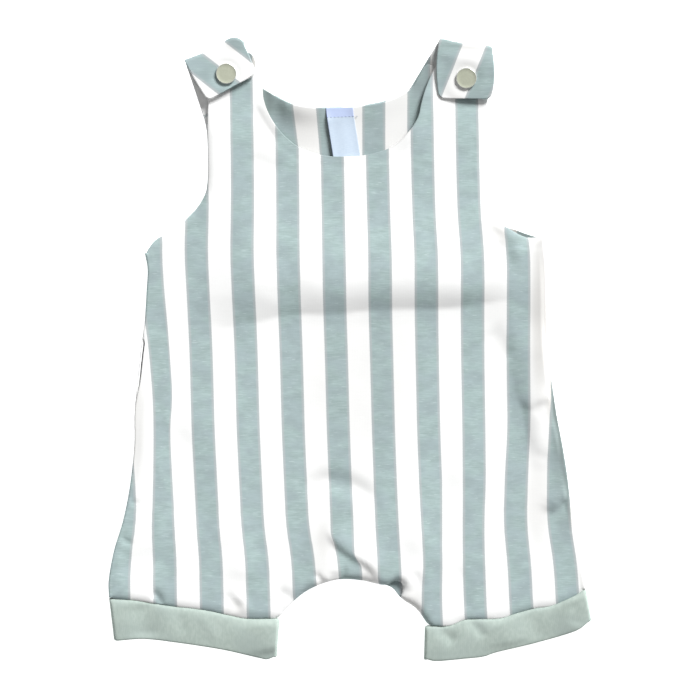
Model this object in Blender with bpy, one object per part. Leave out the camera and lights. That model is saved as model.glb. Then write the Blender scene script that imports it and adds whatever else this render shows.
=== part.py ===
"""A baby's short romper of striped jersey, laid flat on its back with the front facing up.

The frame has +Z up, +Y from the hems to the shoulders and +X to the reader's right. The origin is at the
middle of the laid garment, on the surface that it lies on. Tables are in millimetres and the meshes in metres.
"""

import math

import bmesh
import bpy
import numpy as np
from mathutils import Vector
from mathutils.geometry import delaunay_2d_cdt

MM = 0.001

# Cloth walls and the gaps between them.
JERSEY = 1.2  # the striped jersey of front, back and straps
FACING_WALL = 1.0
LABEL_WALL = 1.0
RIB_WALL = 2.0  # the cuff's knit is folded double
GAP = 0.3

# How the layers lie on each other: heights of the middle of each wall.
BACK_Z = JERSEY / 2
SIDE_ROLL = 1.6  # radius of the roll where a side seam turns over, at mid wall
SIDE_SEAM_Z = BACK_Z + 2 * SIDE_ROLL
FACING_Z = JERSEY + GAP + FACING_WALL / 2
LABEL_Z = FACING_Z + FACING_WALL / 2 + GAP + LABEL_WALL / 2
FRONT_STRAP_Z = 2.5
SHOULDER_ROLL = 1.9  # radius of the fold where a back strap turns forward
TAB_Z = BACK_Z + 2 * SHOULDER_ROLL
NECK_Z = 4.9
CUFF_ROLL = 1.6  # radius of a flattened cuff's two ends, at mid wall
CUFF_BACK_Z = RIB_WALL / 2
INSEAM_Z = 1.9
INSEAM_ROLL = 3.6

# Mesh spacing: along an edge, and across the open cloth.
EDGE_STEP = 7.5
FRONT_GRID = 9.5
BACK_GRID = 26.0
FRONT_RINGS = (0.5, 1.7, 3.8)

# Where the laid garment's outline runs, seen from above: (x, y). Each edge starts where the last one ended.
LEFT_HEM = (
    (-133.6, -140.3), (-120.0, -141.2), (-104.0, -143.8), (-82.0, -146.5),
    (-68.0, -149.5), (-58.0, -151.3), (-40.6, -151.6),
)
INSEAM = (
    (-40.6, -151.6), (-35.6, -145.7), (-27.6, -138.2), (-18.3, -133.1), (-6.0, -129.7), (5.5, -130.1),
    (18.4, -133.0), (24.0, -135.0), (29.2, -141.0), (37.8, -146.4), (44.6, -155.6),
)
RIGHT_HEM = (
    (44.6, -155.6), (56.0, -155.4), (66.0, -151.8), (84.0, -151.4), (92.5, -148.8),
    (104.0, -145.6), (114.0, -144.2), (126.0, -139.0), (131.0, -135.6),
)
RIGHT_ARMHOLE = (
    (106.6, 63.2), (99.5, 63.0), (91.5, 66.8), (84.6, 71.6), (79.0, 78.4), (75.9, 85.7),
    (74.6, 96.0), (74.4, 107.2), (75.3, 124.1), (77.6, 138.7), (78.4, 150.0),
)
RIGHT_STRAP_END = ((78.4, 150.0), (77.6, 161.0), (71.0, 165.0), (62.0, 166.2), (53.5, 165.6), (49.2, 161.5))
NECKLINE = (
    (49.2, 161.5), (45.6, 155.0), (42.2, 146.5), (40.2, 139.5), (37.9, 130.5), (31.6, 121.4), (22.5, 114.0),
    (9.4, 110.0), (-3.5, 109.1), (-16.0, 109.9), (-28.0, 114.0), (-37.5, 121.4), (-44.7, 131.1),
    (-48.6, 140.9), (-49.6, 149.5), (-53.0, 158.0),
)
LEFT_STRAP_END = (
    (-53.0, 158.0), (-53.4, 163.0), (-55.2, 166.8), (-59.0, 168.2), (-66.4, 166.4), (-74.0, 162.4), (-78.4, 155.0),
)
LEFT_ARMHOLE = (
    (-78.4, 155.0), (-80.0, 139.3), (-79.9, 112.8), (-79.9, 95.9), (-81.8, 86.5), (-88.6, 76.8),
    (-98.0, 68.8), (-106.4, 63.8), (-110.6, 60.6), (-113.4, 57.0),
)
# The sides have a third column: how far in from the outline the side seam lies.
LEFT_SIDE = (
    (-115.8, 54.6, 2.4), (-114.2, 45.7, 2.4), (-114.7, 35.0, 2.4), (-115.9, 16.9, 2.6), (-118.2, 0.0, 3.4),
    (-120.1, -18.0, 4.6), (-121.7, -36.7, 3.8), (-121.8, -53.6, 2.4), (-124.1, -76.1, 2.6),
    (-128.0, -95.9, 2.8), (-133.1, -112.8, 2.6), (-136.2, -129.7, 2.4), (-136.0, -139.6, 2.4),
)
RIGHT_SIDE = (
    (133.3, -134.7, 2.4), (130.3, -121.3, 2.4), (126.9, -104.3, 2.4), (124.6, -87.4, 2.8),
    (122.6, -70.5, 3.0), (119.9, -53.6, 2.6), (116.7, -36.7, 2.4), (114.2, -19.7, 2.4), (112.0, -2.8, 2.6),
    (111.1, 14.1, 2.6), (110.8, 31.0, 2.4), (110.3, 47.9, 2.4), (109.0, 63.2, 2.4),
)

# The back shows past the front only at the neck and under the right arm.
BACK_LEFT_ARMHOLE = (
    (-82.6, 131.0), (-81.4, 122.0), (-81.0, 100.0), (-82.8, 86.5), (-89.8, 76.8), (-99.0, 68.6),
    (-107.0, 63.2), (-111.2, 60.0), (-113.6, 56.4),
)
BACK_RIGHT_ARMHOLE = (
    (106.8, 63.2), (99.8, 65.6), (92.4, 68.4), (85.6, 71.0), (80.0, 77.6), (76.9, 85.7),
    (75.6, 96.0), (75.2, 110.0), (75.2, 131.0),
)
BACK_NECK = (
    (34.4, 148.6), (30.5, 145.6), (20.5, 141.1), (8.0, 138.6), (-4.0, 137.5), (-16.0, 137.3), (-25.0, 137.9),
    (-33.5, 139.6), (-41.0, 143.4), (-49.5, 148.6),
)

# Each back strap: root, fold and free end, as the outline's corners seen from above (left end, right end).
STRAPS = {
    "left": {
        "root": ((-82.6, 131.0), (-49.5, 148.6)),
        "fold": ((-93.4, 163.4), (-61.6, 176.6)),
        "end": ((-80.0, 140.4), (-52.8, 155.4)),
        "bulge": -0.9,
        "lift": 1.3,
    },
    "right": {
        "root": ((34.4, 148.6), (75.2, 131.0)),
        "fold": ((50.4, 176.4), (79.8, 171.8)),
        "end": ((50.2, 141.8), (79.2, 141.4)),
        "bulge": -0.8,
        "lift": 0.9,
    },
}
STRAP_COLUMNS = 8
ROOT_ROWS = 5
FOLD_ROWS = 6
TAB_ROWS = 7
CORNER_CURL = 0.5
CORNER_INSET = ((0.80, 0.0), (0.93, 0.025), (1.0, 0.085))  # (share of the tab's length, share of its width)

SNAPS = {"left": (-69.7, 155.6), "right": (65.5, 153.0)}
SNAP_RADIUS = 5.8
SNAP_HEIGHT = 1.3
SNAP_SEGMENTS = 28

# The facing's two sides inside the body, each from its lower corner up to the back neck.
FACING_RIGHT = (
    (72.0, 24.0), (72.0, 78.0), (70.0, 92.0), (69.5, 106.0), (62.0, 118.0), (46.0, 127.0), (37.0, 131.5), (35.4, 138.0),
)
FACING_LEFT = (
    (-81.0, 24.0), (-81.0, 74.0), (-76.0, 88.0), (-75.0, 106.0), (-67.0, 119.0), (-53.0, 127.0), (-46.4, 132.0),
    (-46.4, 140.0),
)
LABEL = {"top": (-6.0, 136.4), "width": 15.4, "length": 34.0, "lean_deg": 8.0}

# The front's height up the middle of the body: (y, height of mid wall).
FRONT_PROFILE = (
    (-160.0, 4.7), (-120.0, 5.0), (-70.0, 4.7), (-10.0, 4.5), (14.0, 4.5), (30.0, 4.9), (60.0, 4.9),
    (106.0, 4.9), (122.0, 4.6), (136.0, 3.1), (141.0, FRONT_STRAP_Z), (176.0, FRONT_STRAP_Z),
)

# Folds of the front: half width and height (down is negative) of a soft trough or ridge, and the line it follows.
FOLDS = (
    ("chest step", 6.0, -1.0, ((-80.0, 15.0), (-45.0, 23.5), (-12.0, 27.5), (20.0, 29.0), (60.0, 30.0), (104.0, 34.0))),
    ("chest ridge", 7.0, 0.5, ((-66.0, 31.0), (-12.0, 38.0), (40.0, 40.0), (96.0, 43.0))),
    ("belly arch", 5.0, -0.8, ((-27.0, -74.0), (-17.0, -66.6), (-8.5, -65.4), (2.8, -69.9), (16.0, -79.0))),
    ("crotch tuck", 4.0, -1.2, ((-20.0, -100.0), (-10.2, -106.5), (-4.5, -112.5), (6.0, -120.0), (16.0, -131.0))),
    ("crotch ridge", 5.0, 0.9, ((-12.0, -97.0), (-1.0, -104.0), (9.0, -112.5), (19.0, -125.0))),
    ("right drag", 5.0, -1.0, ((77.0, 19.0), (88.5, -3.4), (97.0, -31.0), (101.0, -58.0))),
    ("right pleat", 3.5, -1.0, ((110.0, -94.0), (116.5, -87.4), (122.0, -82.0))),
    ("left drag", 9.0, -0.7, ((-99.0, -38.0), (-92.5, -73.0), (-90.0, -104.0))),
    ("neck drag", 5.0, -0.6, ((-58.0, 138.0), (-48.0, 128.6), (-40.0, 117.0))),
    ("left leg fold", 3.5, -0.8, ((-42.0, -136.0), (-36.0, -138.6), (-30.0, -141.5))),
    ("left gather", 3.0, -0.8, ((-20.5, -125.5), (-14.0, -132.0))),
    ("middle gather", 3.0, -0.7, ((-3.0, -123.0), (-3.6, -130.0))),
    ("right leg fold", 4.0, -1.0, ((35.0, -124.0), (38.4, -131.0), (34.0, -136.5), (28.0, -138.0))),
)

CUFFS = {
    "left": {
        "top": LEFT_HEM,
        "bottom": ((-133.2, -164.0), (-116.0, -163.0), (-98.0, -165.0), (-72.0, -169.0), (-50.0, -174.0), (-43.6, -174.0)),
        "fold": ((-60.0, -154.0), (-68.0, -166.0), -0.5),
    },
    "right": {
        "top": RIGHT_HEM,
        "bottom": (
            (44.6, -175.4), (64.0, -174.2), (75.0, -173.0), (83.0, -170.4), (104.0, -165.4), (126.0, -158.8),
            (136.6, -153.2),
        ),
        "fold": ((68.0, -152.0), (76.0, -161.0), -0.6),
    },
}
CUFF_COLUMNS = 20
CUFF_END_STEPS = 4
CUFF_ROWS = 4
CUFF_NOSE_STEPS = 4

MATERIALS = {
    "striped_jersey": ((0.72, 0.80, 0.79, 1.0), 0.85, 0.0),
    "facing_jersey": ((0.55, 0.66, 0.65, 1.0), 0.85, 0.0),
    "rib_knit": ((0.56, 0.64, 0.58, 1.0), 0.9, 0.0),
    "label_satin": ((0.80, 0.85, 0.93, 1.0), 0.5, 0.0),
    "snap_enamel": ((0.50, 0.53, 0.43, 1.0), 0.35, 0.3),
}


def smooth_curve(points, step):
    """A Catmull-Rom curve through the points, sampled about one step apart; a third column is carried along."""
    knots = np.array(points, float)
    padded = np.vstack([2 * knots[0] - knots[1], knots, 2 * knots[-1] - knots[-2]])
    fine = []
    for a, b, c, d in zip(padded, padded[1:], padded[2:], padded[3:]):
        for t in np.linspace(0.0, 1.0, 12, endpoint=False):
            fine.append(0.5 * (2 * b + (c - a) * t + (2 * a - 5 * b + 4 * c - d) * t**2 + (3 * b - a - 3 * c + d) * t**3))
    fine = np.array(fine + [knots[-1]])
    along = np.concatenate([[0], np.cumsum(np.linalg.norm(np.diff(fine[:, :2], axis=0), axis=1))])
    count = max(2, round(along[-1] / step) + 1)
    at = np.linspace(0, along[-1], count)
    return np.stack([np.interp(at, along, fine[:, k]) for k in range(fine.shape[1])], axis=1)


def outward(line):
    """Unit normals on the right-hand side of a line of points, which is outside for an anticlockwise outline."""
    tangent = np.gradient(line[:, :2], axis=0)
    tangent /= np.linalg.norm(tangent, axis=1)[:, None]
    return np.stack([tangent[:, 1], -tangent[:, 0]], axis=1)


def distance_to(points, line):
    """How far each point is from a line, and how far along it, from 0 to 1, the nearest place lies."""
    a, b = line[:-1], line[1:]
    span = b - a
    size = np.maximum((span**2).sum(1), 1e-12)
    share = np.clip(((points[:, None] - a) * span).sum(2) / size, 0, 1)
    gap = np.linalg.norm(points[:, None] - (a + share[..., None] * span), axis=2)
    nearest = gap.argmin(1)
    rows = np.arange(len(points))
    return gap[rows, nearest], (nearest + share[rows, nearest]) / len(a)


def inside(points, outline):
    """Whether each point lies inside a closed outline, by counting crossings."""
    x, y = points[:, 0][:, None], points[:, 1][:, None]
    x0, y0 = outline[:, 0], outline[:, 1]
    x1, y1 = np.roll(x0, -1), np.roll(y0, -1)
    crosses = (y0 > y) != (y1 > y)
    rise = np.where(np.abs(y1 - y0) < 1e-12, 1e-12, y1 - y0)
    return ((crosses & (x < (x1 - x0) * (y - y0) / rise + x0)).sum(1) % 2).astype(bool)


def smoothstep(t):
    t = np.clip(t, 0, 1)
    return t * t * (3 - 2 * t)


def quarter_round(t):
    t = np.clip(t, 0, 1)
    return np.sqrt(1 - (1 - t) ** 2)


def joined(edges):
    """One closed outline from edges that share their end points."""
    return np.vstack([edge[:-1, :2] for edge in edges])


def triangulated(outline, extra):
    """Points and triangles that fill a closed outline, using the extra points inside it."""
    points = [Vector(p) for p in np.vstack([outline, extra])]
    loop = list(range(len(outline)))
    verts, _, faces, *_ = delaunay_2d_cdt(points, [], [loop], 1, 1e-4)
    return np.array([tuple(v) for v in verts]), [tuple(f) for f in faces]


def thinned(points, least):
    """The points without those that lie closer than the least distance to one kept before."""
    kept = np.empty((0, 2))
    for p in points:
        if not len(kept) or ((kept - p) ** 2).sum(1).min() > least**2:
            kept = np.vstack([kept, p])
    return kept


def open_cloth_points(outline, grid, rings, lines=()):
    """Points across the cloth: rings just inside its edge, points beside its fold lines, and an even grid."""
    closed = np.vstack([outline, outline[:1]])
    normals = outward(np.vstack([outline[-1:], outline, outline[:1]]))[1:-1]
    layers = [outline - normals * inset for inset in rings]
    for width, line in lines:
        middle = smooth_curve(line, grid * 0.8)
        side = outward(middle)
        layers += [middle[:, :2] + side * width * k for k in (-1.0, 0.0, 1.0)]
    low, high = outline.min(0), outline.max(0)
    rows = np.arange(low[1], high[1], grid * math.sqrt(3) / 2)
    lattice = [
        (x, y)
        for k, y in enumerate(rows)
        for x in np.arange(low[0] + (k % 2) * grid / 2, high[0], grid)
    ]
    deepest = max(rings, default=0.0)
    found = []
    for k, layer in enumerate([*layers, np.array(lattice)]):
        layer = layer[inside(layer, outline)]
        gap, _ = distance_to(layer, closed)
        least = rings[k] * 0.8 if k < len(rings) else deepest + grid * 0.38
        found.append(layer[gap > least])
    ring_points = [p for layer in found[: len(rings)] for p in [thinned(layer, 2.0)]]
    rest = thinned(np.vstack(found[len(rings) :]), grid * 0.55)
    return np.vstack([*ring_points, rest]) if ring_points else rest


def fold_relief(points, folds):
    """The sum of the soft troughs and ridges at each point. Each fades towards its ends."""
    relief = np.zeros(len(points))
    for _, width, height, line in folds:
        gap, along = distance_to(points, smooth_curve(line, 4.0)[:, :2])
        fade = smoothstep(np.minimum(along, 1 - along) * 5)
        relief += height * fade * np.exp(-((gap / width) ** 2))
    return relief


def front_edges():
    """The front panel's edges in order: name, points, height at the edge, width of the slope, its shape."""
    left, right = smooth_curve(LEFT_SIDE, EDGE_STEP), smooth_curve(RIGHT_SIDE, EDGE_STEP)
    seams = [
        side[:, :2] - outward(side) * (side[:, 2:] + GAP / 2) for side in (left, right)
    ]
    corners = {
        "left_hem": np.array(LEFT_HEM) + (0, GAP),
        "right_hem": np.array(RIGHT_HEM) + (0, GAP),
        "inseam": np.array(INSEAM) + (0, GAP + JERSEY / 2),
        "right_armhole": np.array(RIGHT_ARMHOLE),
        "left_armhole": np.array(LEFT_ARMHOLE),
    }
    corners["left_hem"][-1], corners["right_hem"][0] = corners["inseam"][0], corners["inseam"][-1]
    corners["left_hem"][0] = seams[0][-1]
    corners["right_hem"][-1] = seams[1][0]
    corners["right_armhole"][0] = seams[1][-1]
    corners["left_armhole"][-1] = seams[0][0]
    curves = {name: smooth_curve(points, EDGE_STEP) for name, points in corners.items()}
    return (
        ("left hem", curves["left_hem"], SIDE_SEAM_Z, 7.0, smoothstep),
        ("inseam", curves["inseam"], INSEAM_Z, INSEAM_ROLL, quarter_round),
        ("right hem", curves["right_hem"], SIDE_SEAM_Z, 7.0, smoothstep),
        ("right side", seams[1], SIDE_SEAM_Z, 9.0, smoothstep),
        ("right armhole", curves["right_armhole"], 3.2, 6.0, smoothstep),
        ("right strap end", smooth_curve(RIGHT_STRAP_END, EDGE_STEP), FRONT_STRAP_Z, 3.0, smoothstep),
        ("neckline", smooth_curve(NECKLINE, EDGE_STEP), NECK_Z, 5.0, smoothstep),
        ("left strap end", smooth_curve(LEFT_STRAP_END, EDGE_STEP), FRONT_STRAP_Z, 3.0, smoothstep),
        ("left armhole", curves["left_armhole"], 3.2, 6.0, smoothstep),
        ("left side", seams[0], SIDE_SEAM_Z, 9.0, smoothstep),
    )


def front_height(points, edges):
    """Height of the front's mid wall: the middle profile and the folds, eased down to each edge's own height."""
    ys, zs = zip(*FRONT_PROFILE)
    crown = np.interp(points[:, 1], ys, zs)
    middle = crown + fold_relief(points, FOLDS)
    gaps = np.stack([distance_to(points, edge[1][:, :2])[0] for edge in edges], axis=1)
    weight = 1 / (gaps + 0.4) ** 3
    weight /= weight.sum(1)[:, None]
    edge_z = np.stack([np.minimum(edge[2], crown) for edge in edges], axis=1)
    rise = np.stack([edge[4](gaps[:, k] / edge[3]) for k, edge in enumerate(edges)], axis=1)
    return (weight * (edge_z + (middle[:, None] - edge_z) * rise)).sum(1)


def material(name):
    made = bpy.data.materials.get(name) or bpy.data.materials.new(name)
    colour, roughness, metallic = MATERIALS[name]
    made.use_nodes = True
    shader = made.node_tree.nodes["Principled BSDF"]
    shader.inputs["Base Color"].default_value = colour
    shader.inputs["Roughness"].default_value = roughness
    shader.inputs["Metallic"].default_value = metallic
    return made


def add_object(name, points, faces, finish, wall=None):
    """One named object from points in millimetres. A wall turns an open sheet into cloth of that thickness."""
    mesh = bpy.data.meshes.new(name)
    mesh.from_pydata([tuple(float(c) * MM for c in p) for p in points], [], faces)
    work = bmesh.new()
    work.from_mesh(mesh)
    bmesh.ops.remove_doubles(work, verts=work.verts, dist=0.02 * MM)
    bmesh.ops.recalc_face_normals(work, faces=work.faces)
    if wall and sum(f.normal.z * f.calc_area() for f in work.faces) < 0:
        bmesh.ops.reverse_faces(work, faces=work.faces)
    work.to_mesh(mesh)
    work.free()
    mesh.shade_smooth()
    mesh.set_sharp_from_angle(angle=math.radians(50))
    mesh.materials.append(material(finish))
    made = bpy.data.objects.new(name, mesh)
    bpy.context.scene.collection.objects.link(made)
    if wall:
        cloth = made.modifiers.new("cloth wall", "SOLIDIFY")
        cloth.thickness = wall * MM
        cloth.offset = 0.0
        cloth.use_even_offset = True
    return made


def grid_faces(rows, columns, first=0):
    """Quads over a grid of points that is stored row by row."""
    return [
        (first + r * columns + c, first + r * columns + c + 1, first + (r + 1) * columns + c + 1, first + (r + 1) * columns + c)
        for r in range(rows - 1)
        for c in range(columns - 1)
    ]


def make_front():
    edges = front_edges()
    outline = joined([edge[1] for edge in edges])
    lines = [(width * 0.9, line) for _, width, _, line in FOLDS]
    extra = open_cloth_points(outline, FRONT_GRID, FRONT_RINGS, lines)
    flat, faces = triangulated(outline, extra)
    height = front_height(flat, edges)
    return add_object("front_panel", np.column_stack([flat, height]), faces, "striped_jersey", JERSEY)


def side_strip(side, count_offset):
    """The back's cloth where it rolls up and over at a side seam: rows of points from the flat to the seam."""
    silhouette, normal, seam_in = side[:, :2], outward(side), side[:, 2:]
    foot = silhouette - normal * (SIDE_ROLL + JERSEY / 2)
    rows = []
    for angle in np.linspace(-90, 90, 7):
        turn = math.radians(angle)
        plan = foot + normal * SIDE_ROLL * math.cos(turn)
        rows.append(np.column_stack([plan, np.full(len(plan), BACK_Z + SIDE_ROLL * (1 + math.sin(turn)))]))
    seam = silhouette - normal * (seam_in - GAP / 2)
    rows.append(np.column_stack([seam, np.full(len(seam), SIDE_SEAM_Z)]))
    return foot, np.vstack(rows), grid_faces(len(rows), len(foot), count_offset)


def strap_band(strap, first):
    """A back strap's points, row by row: from its root, under the front strap, over the fold, to its free end."""
    across = np.linspace(0, 1, STRAP_COLUMNS)[:, None]

    def between(line, low=0.0, high=1.0):
        a, b = (np.array(p) for p in line)
        share = low + (high - low) * across
        return a + (b - a) * share

    root = between(strap["root"])
    start, finish = (np.array(p) for p in strap["fold"])
    along = (finish - start) / np.linalg.norm(finish - start)
    up = np.array((-along[1], along[0]))
    crest = between(strap["fold"]) + up * (strap["bulge"] * np.sin(math.pi * across) ** 2 - 0.9 * (2 * across - 1) ** 8)
    foot = crest - up * (SHOULDER_ROLL + JERSEY / 2)
    rows = []
    for t in np.linspace(0, 1, ROOT_ROWS):
        rows.append(np.column_stack([root + (foot - root) * t, np.full(STRAP_COLUMNS, BACK_Z)]))
    for angle in np.linspace(-90, 90, FOLD_ROWS)[1:]:
        turn = math.radians(angle)
        plan = foot + up * SHOULDER_ROLL * math.cos(turn)
        rows.append(np.column_stack([plan, np.full(STRAP_COLUMNS, BACK_Z + SHOULDER_ROLL * (1 + math.sin(turn)))]))
    shares, insets = zip((0.0, 0.0), *CORNER_INSET)
    for t in np.linspace(0, 1, TAB_ROWS)[1:]:
        inset = float(np.interp(t, shares, insets))
        end = between(strap["end"], inset, 1 - inset)
        near = between(tuple(map(tuple, (foot[0], foot[-1]))), inset, 1 - inset)
        bend = (foot - near) * (1 - t) if inset == 0 else 0
        lift = strap["lift"] * smoothstep(t / 0.3) + CORNER_CURL * (2 * across[:, 0] - 1) ** 4 * t
        rows.append(np.column_stack([near + (end - near) * t + bend, TAB_Z + lift]))
    return np.vstack(rows), grid_faces(len(rows), STRAP_COLUMNS, first), root


def make_back():
    left, right = smooth_curve(LEFT_SIDE, EDGE_STEP * 1.2), smooth_curve(RIGHT_SIDE, EDGE_STEP * 1.2)
    hem_left, hem_right = (np.array(line) + (0, GAP) for line in (LEFT_HEM, RIGHT_HEM))
    bands, band_faces, roots, first = [], [], {}, 0
    for name, strap in STRAPS.items():
        points, faces, roots[name] = strap_band(strap, first)
        bands.append(points)
        band_faces += faces
        first += len(points)
    feet = {}
    for name, side in (("left", left), ("right", right)):
        feet[name], points, faces = side_strip(side, first)
        bands.append(points)
        band_faces += faces
        first += len(points)
    hem_left[0], hem_right[-1] = feet["left"][-1], feet["right"][0]
    armhole_right, armhole_left = np.array(BACK_RIGHT_ARMHOLE), np.array(BACK_LEFT_ARMHOLE)
    armhole_right[0], armhole_left[-1] = feet["right"][-1], feet["left"][0]
    inseam = np.array(INSEAM) + (0, 1.0)
    inseam[0], inseam[-1] = hem_left[-1], hem_right[0]
    step = EDGE_STEP * 1.3
    outline = joined([
        smooth_curve(hem_left, step),
        smooth_curve(inseam, EDGE_STEP),
        smooth_curve(hem_right, step),
        feet["right"],
        smooth_curve(armhole_right, step),
        roots["right"][::-1],
        smooth_curve(BACK_NECK, EDGE_STEP),
        roots["left"][::-1],
        smooth_curve(armhole_left, step),
        feet["left"],
    ])
    flat, faces = triangulated(outline, open_cloth_points(outline, BACK_GRID, ()))
    body = np.column_stack([flat, np.full(len(flat), BACK_Z)])
    faces = [tuple(i + first for i in face) for face in faces]
    return add_object("back_panel", np.vstack([*bands, body]), band_faces + faces, "striped_jersey", JERSEY)


def make_facing():
    """The striped facing inside the back neck, from the neck edge down into the body."""
    step = EDGE_STEP * 1.6
    neck = smooth_curve([(x, y - 1.0) for x, y in BACK_NECK if FACING_LEFT[-1][0] < x < FACING_RIGHT[-1][0]], EDGE_STEP)
    right, left = smooth_curve(FACING_RIGHT, step), smooth_curve(FACING_LEFT, step)[::-1]
    outline = joined([
        smooth_curve((FACING_LEFT[0], FACING_RIGHT[0]), step * 2),
        right,
        np.array([right[-1], neck[0]]),
        neck,
        np.array([neck[-1], left[0]]),
        left,
    ])
    flat, faces = triangulated(outline, open_cloth_points(outline, BACK_GRID, ()))
    points = np.column_stack([flat, np.full(len(flat), FACING_Z)])
    return add_object("back_facing", points, faces, "facing_jersey", FACING_WALL)


def make_label():
    """The woven label sewn at the middle of the back neck. Its front is plain."""
    lean = math.radians(LABEL["lean_deg"])
    down = np.array((math.sin(lean), -math.cos(lean)))
    across = np.array((math.cos(lean), math.sin(lean)))
    points = [
        (*(np.array(LABEL["top"]) + across * LABEL["width"] * u + down * LABEL["length"] * v), LABEL_Z)
        for v in np.linspace(0, 1, 4)
        for u in np.linspace(-0.5, 0.5, 3)
    ]
    return add_object("neck_label", points, grid_faces(4, 3), "label_satin", LABEL_WALL)


def cuff_ring(top, bottom, roll):
    """The mid wall of a flattened cuff: for each step round it, its point at the seam, at the hem, and its normal."""
    seam = smooth_curve(top, 1.0)
    hem = smooth_curve(bottom, 1.0)

    def at(line, share):
        along = np.linspace(0, 1, len(line))
        return np.array([np.interp(share, along, line[:, k]) for k in range(2)])

    ring = []
    shares = np.linspace(0, 1, CUFF_COLUMNS)
    angles = np.linspace(-90, 90, CUFF_END_STEPS + 1)[1:-1]
    for share in shares:
        ring.append((at(seam, share), at(hem, share), (0.0, 0.0, 1.0), 1.0))
    across = [line[-1, :2] - line[0, :2] for line in (seam, hem)]
    across = [a / np.linalg.norm(a) for a in across]
    for angle in angles[::-1]:
        turn = math.radians(angle)
        out = roll * math.cos(turn)
        normal = (*(across[0] * math.cos(turn)), math.sin(turn))
        ring.append((at(seam, 1) + across[0] * out, at(hem, 1) + across[1] * out, normal, math.sin(turn)))
    for share in shares[::-1]:
        ring.append((at(seam, share), at(hem, share), (0.0, 0.0, -1.0), -1.0))
    for angle in angles:
        turn = math.radians(angle)
        out = roll * math.cos(turn)
        normal = (*(-across[0] * math.cos(turn)), math.sin(turn))
        ring.append((at(seam, 0) - across[0] * out, at(hem, 0) - across[1] * out, normal, math.sin(turn)))
    return ring


def make_cuff(side):
    """One leg cuff: a flattened tube of folded rib whose lower edge is the fold."""
    cuff = CUFFS[side]
    inset = CUFF_ROLL + RIB_WALL / 2
    top, bottom = (np.array(cuff[key], float) for key in ("top", "bottom"))
    top = top - (0, GAP / 2)
    top[0] += (inset - 2.4, 0)
    top[-1] -= (inset - 2.4 if side == "right" else 1.0, 0)
    bottom[0] += (inset, 0) if side == "left" else (inset - 2.0, 0)
    bottom[-1] -= (inset, 0) if side == "right" else (0.6, 0)
    ring = cuff_ring(top, bottom, CUFF_ROLL)
    half = RIB_WALL / 2
    start, finish, depth = cuff["fold"]
    sections = []
    for seam, hem, normal, side_of in ring:
        down = (hem - seam) / np.linalg.norm(hem - seam)
        length = np.linalg.norm(hem - seam) - half
        normal = np.array(normal)
        loop = []

        def place(share, offset, nose=0.0, seam=seam, down=down, length=length, normal=normal, side_of=side_of):
            plan = seam + down * (length * share + nose)
            middle = CUFF_BACK_Z + CUFF_ROLL * (1 + side_of)
            if side_of > 0.99:
                gap, along = distance_to(plan[None, :], np.array([start, finish]))
                fade = math.sin(math.pi * float(along[0]))
                middle += depth * fade * math.exp(-((float(gap[0]) / 4.0) ** 2))
                middle += -0.4 * (1 - smoothstep(share * 5)) + 0.35 * math.sin(math.pi * share)
            point = np.array((*plan, middle)) + normal * offset
            return tuple(point)

        for share in np.linspace(0, 1, CUFF_ROWS + 1):
            loop.append(place(share, half))
        for angle in np.linspace(90, -90, CUFF_NOSE_STEPS + 1)[1:-1]:
            turn = math.radians(angle)
            loop.append(place(1.0, half * math.sin(turn), half * math.cos(turn)))
        for share in np.linspace(1, 0, CUFF_ROWS):
            loop.append(place(share, -half))
        sections.append(loop)
    count = len(sections[0])
    points = [p for loop in sections for p in loop]
    faces = [
        (
            s * count + k,
            s * count + (k + 1) % count,
            ((s + 1) % len(sections)) * count + (k + 1) % count,
            ((s + 1) % len(sections)) * count + k,
        )
        for s in range(len(sections))
        for k in range(count)
    ]
    return add_object(f"cuff_{side}", points, faces, "rib_knit")


def make_snap(side):
    """The cap of a pressed snap: a flat enamelled disc with a low rounded rim."""
    x, y = SNAPS[side]
    foot = TAB_Z + STRAPS[side]["lift"] + JERSEY / 2 + GAP
    profile = (
        (0.0, 0.0), (SNAP_RADIUS * 0.90, 0.0), (SNAP_RADIUS, 0.35), (SNAP_RADIUS, 0.8),
        (SNAP_RADIUS - 0.25, SNAP_HEIGHT - 0.1), (SNAP_RADIUS - 0.7, SNAP_HEIGHT),
        (SNAP_RADIUS - 1.1, SNAP_HEIGHT - 0.22), (0.0, SNAP_HEIGHT - 0.1),
    )
    points, faces = [], []
    for r, z in profile:
        if r == 0:
            points.append((x, y, foot + z))
            continue
        for k in range(SNAP_SEGMENTS):
            turn = 2 * math.pi * k / SNAP_SEGMENTS
            points.append((x + r * math.cos(turn), y + r * math.sin(turn), foot + z))
    rings = len(profile) - 2
    last = len(points) - 1
    for k in range(SNAP_SEGMENTS):
        n = (k + 1) % SNAP_SEGMENTS
        faces.append((0, 1 + n, 1 + k))
        for r in range(rings - 1):
            a, b = 1 + r * SNAP_SEGMENTS, 1 + (r + 1) * SNAP_SEGMENTS
            faces.append((a + k, a + n, b + n, b + k))
        top = 1 + (rings - 1) * SNAP_SEGMENTS
        faces.append((top + k, top + n, last))
    return add_object(f"snap_cap_{side}", points, faces, "snap_enamel")


def main():
    for old in list(bpy.data.objects):
        bpy.data.objects.remove(old)
    make_back()
    make_facing()
    make_label()
    make_front()
    for side in ("left", "right"):
        make_cuff(side)
        make_snap(side)


main()
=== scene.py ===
# Short baby romper in striped jersey, laid flat and seen from straight above.
# Lengths in the settings are millimetres and turn into metres when a mesh is made.
import math

import bmesh
import bpy
import numpy as np
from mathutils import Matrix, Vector, noise
from mathutils.geometry import delaunay_2d_cdt
from mathutils.kdtree import KDTree


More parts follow.
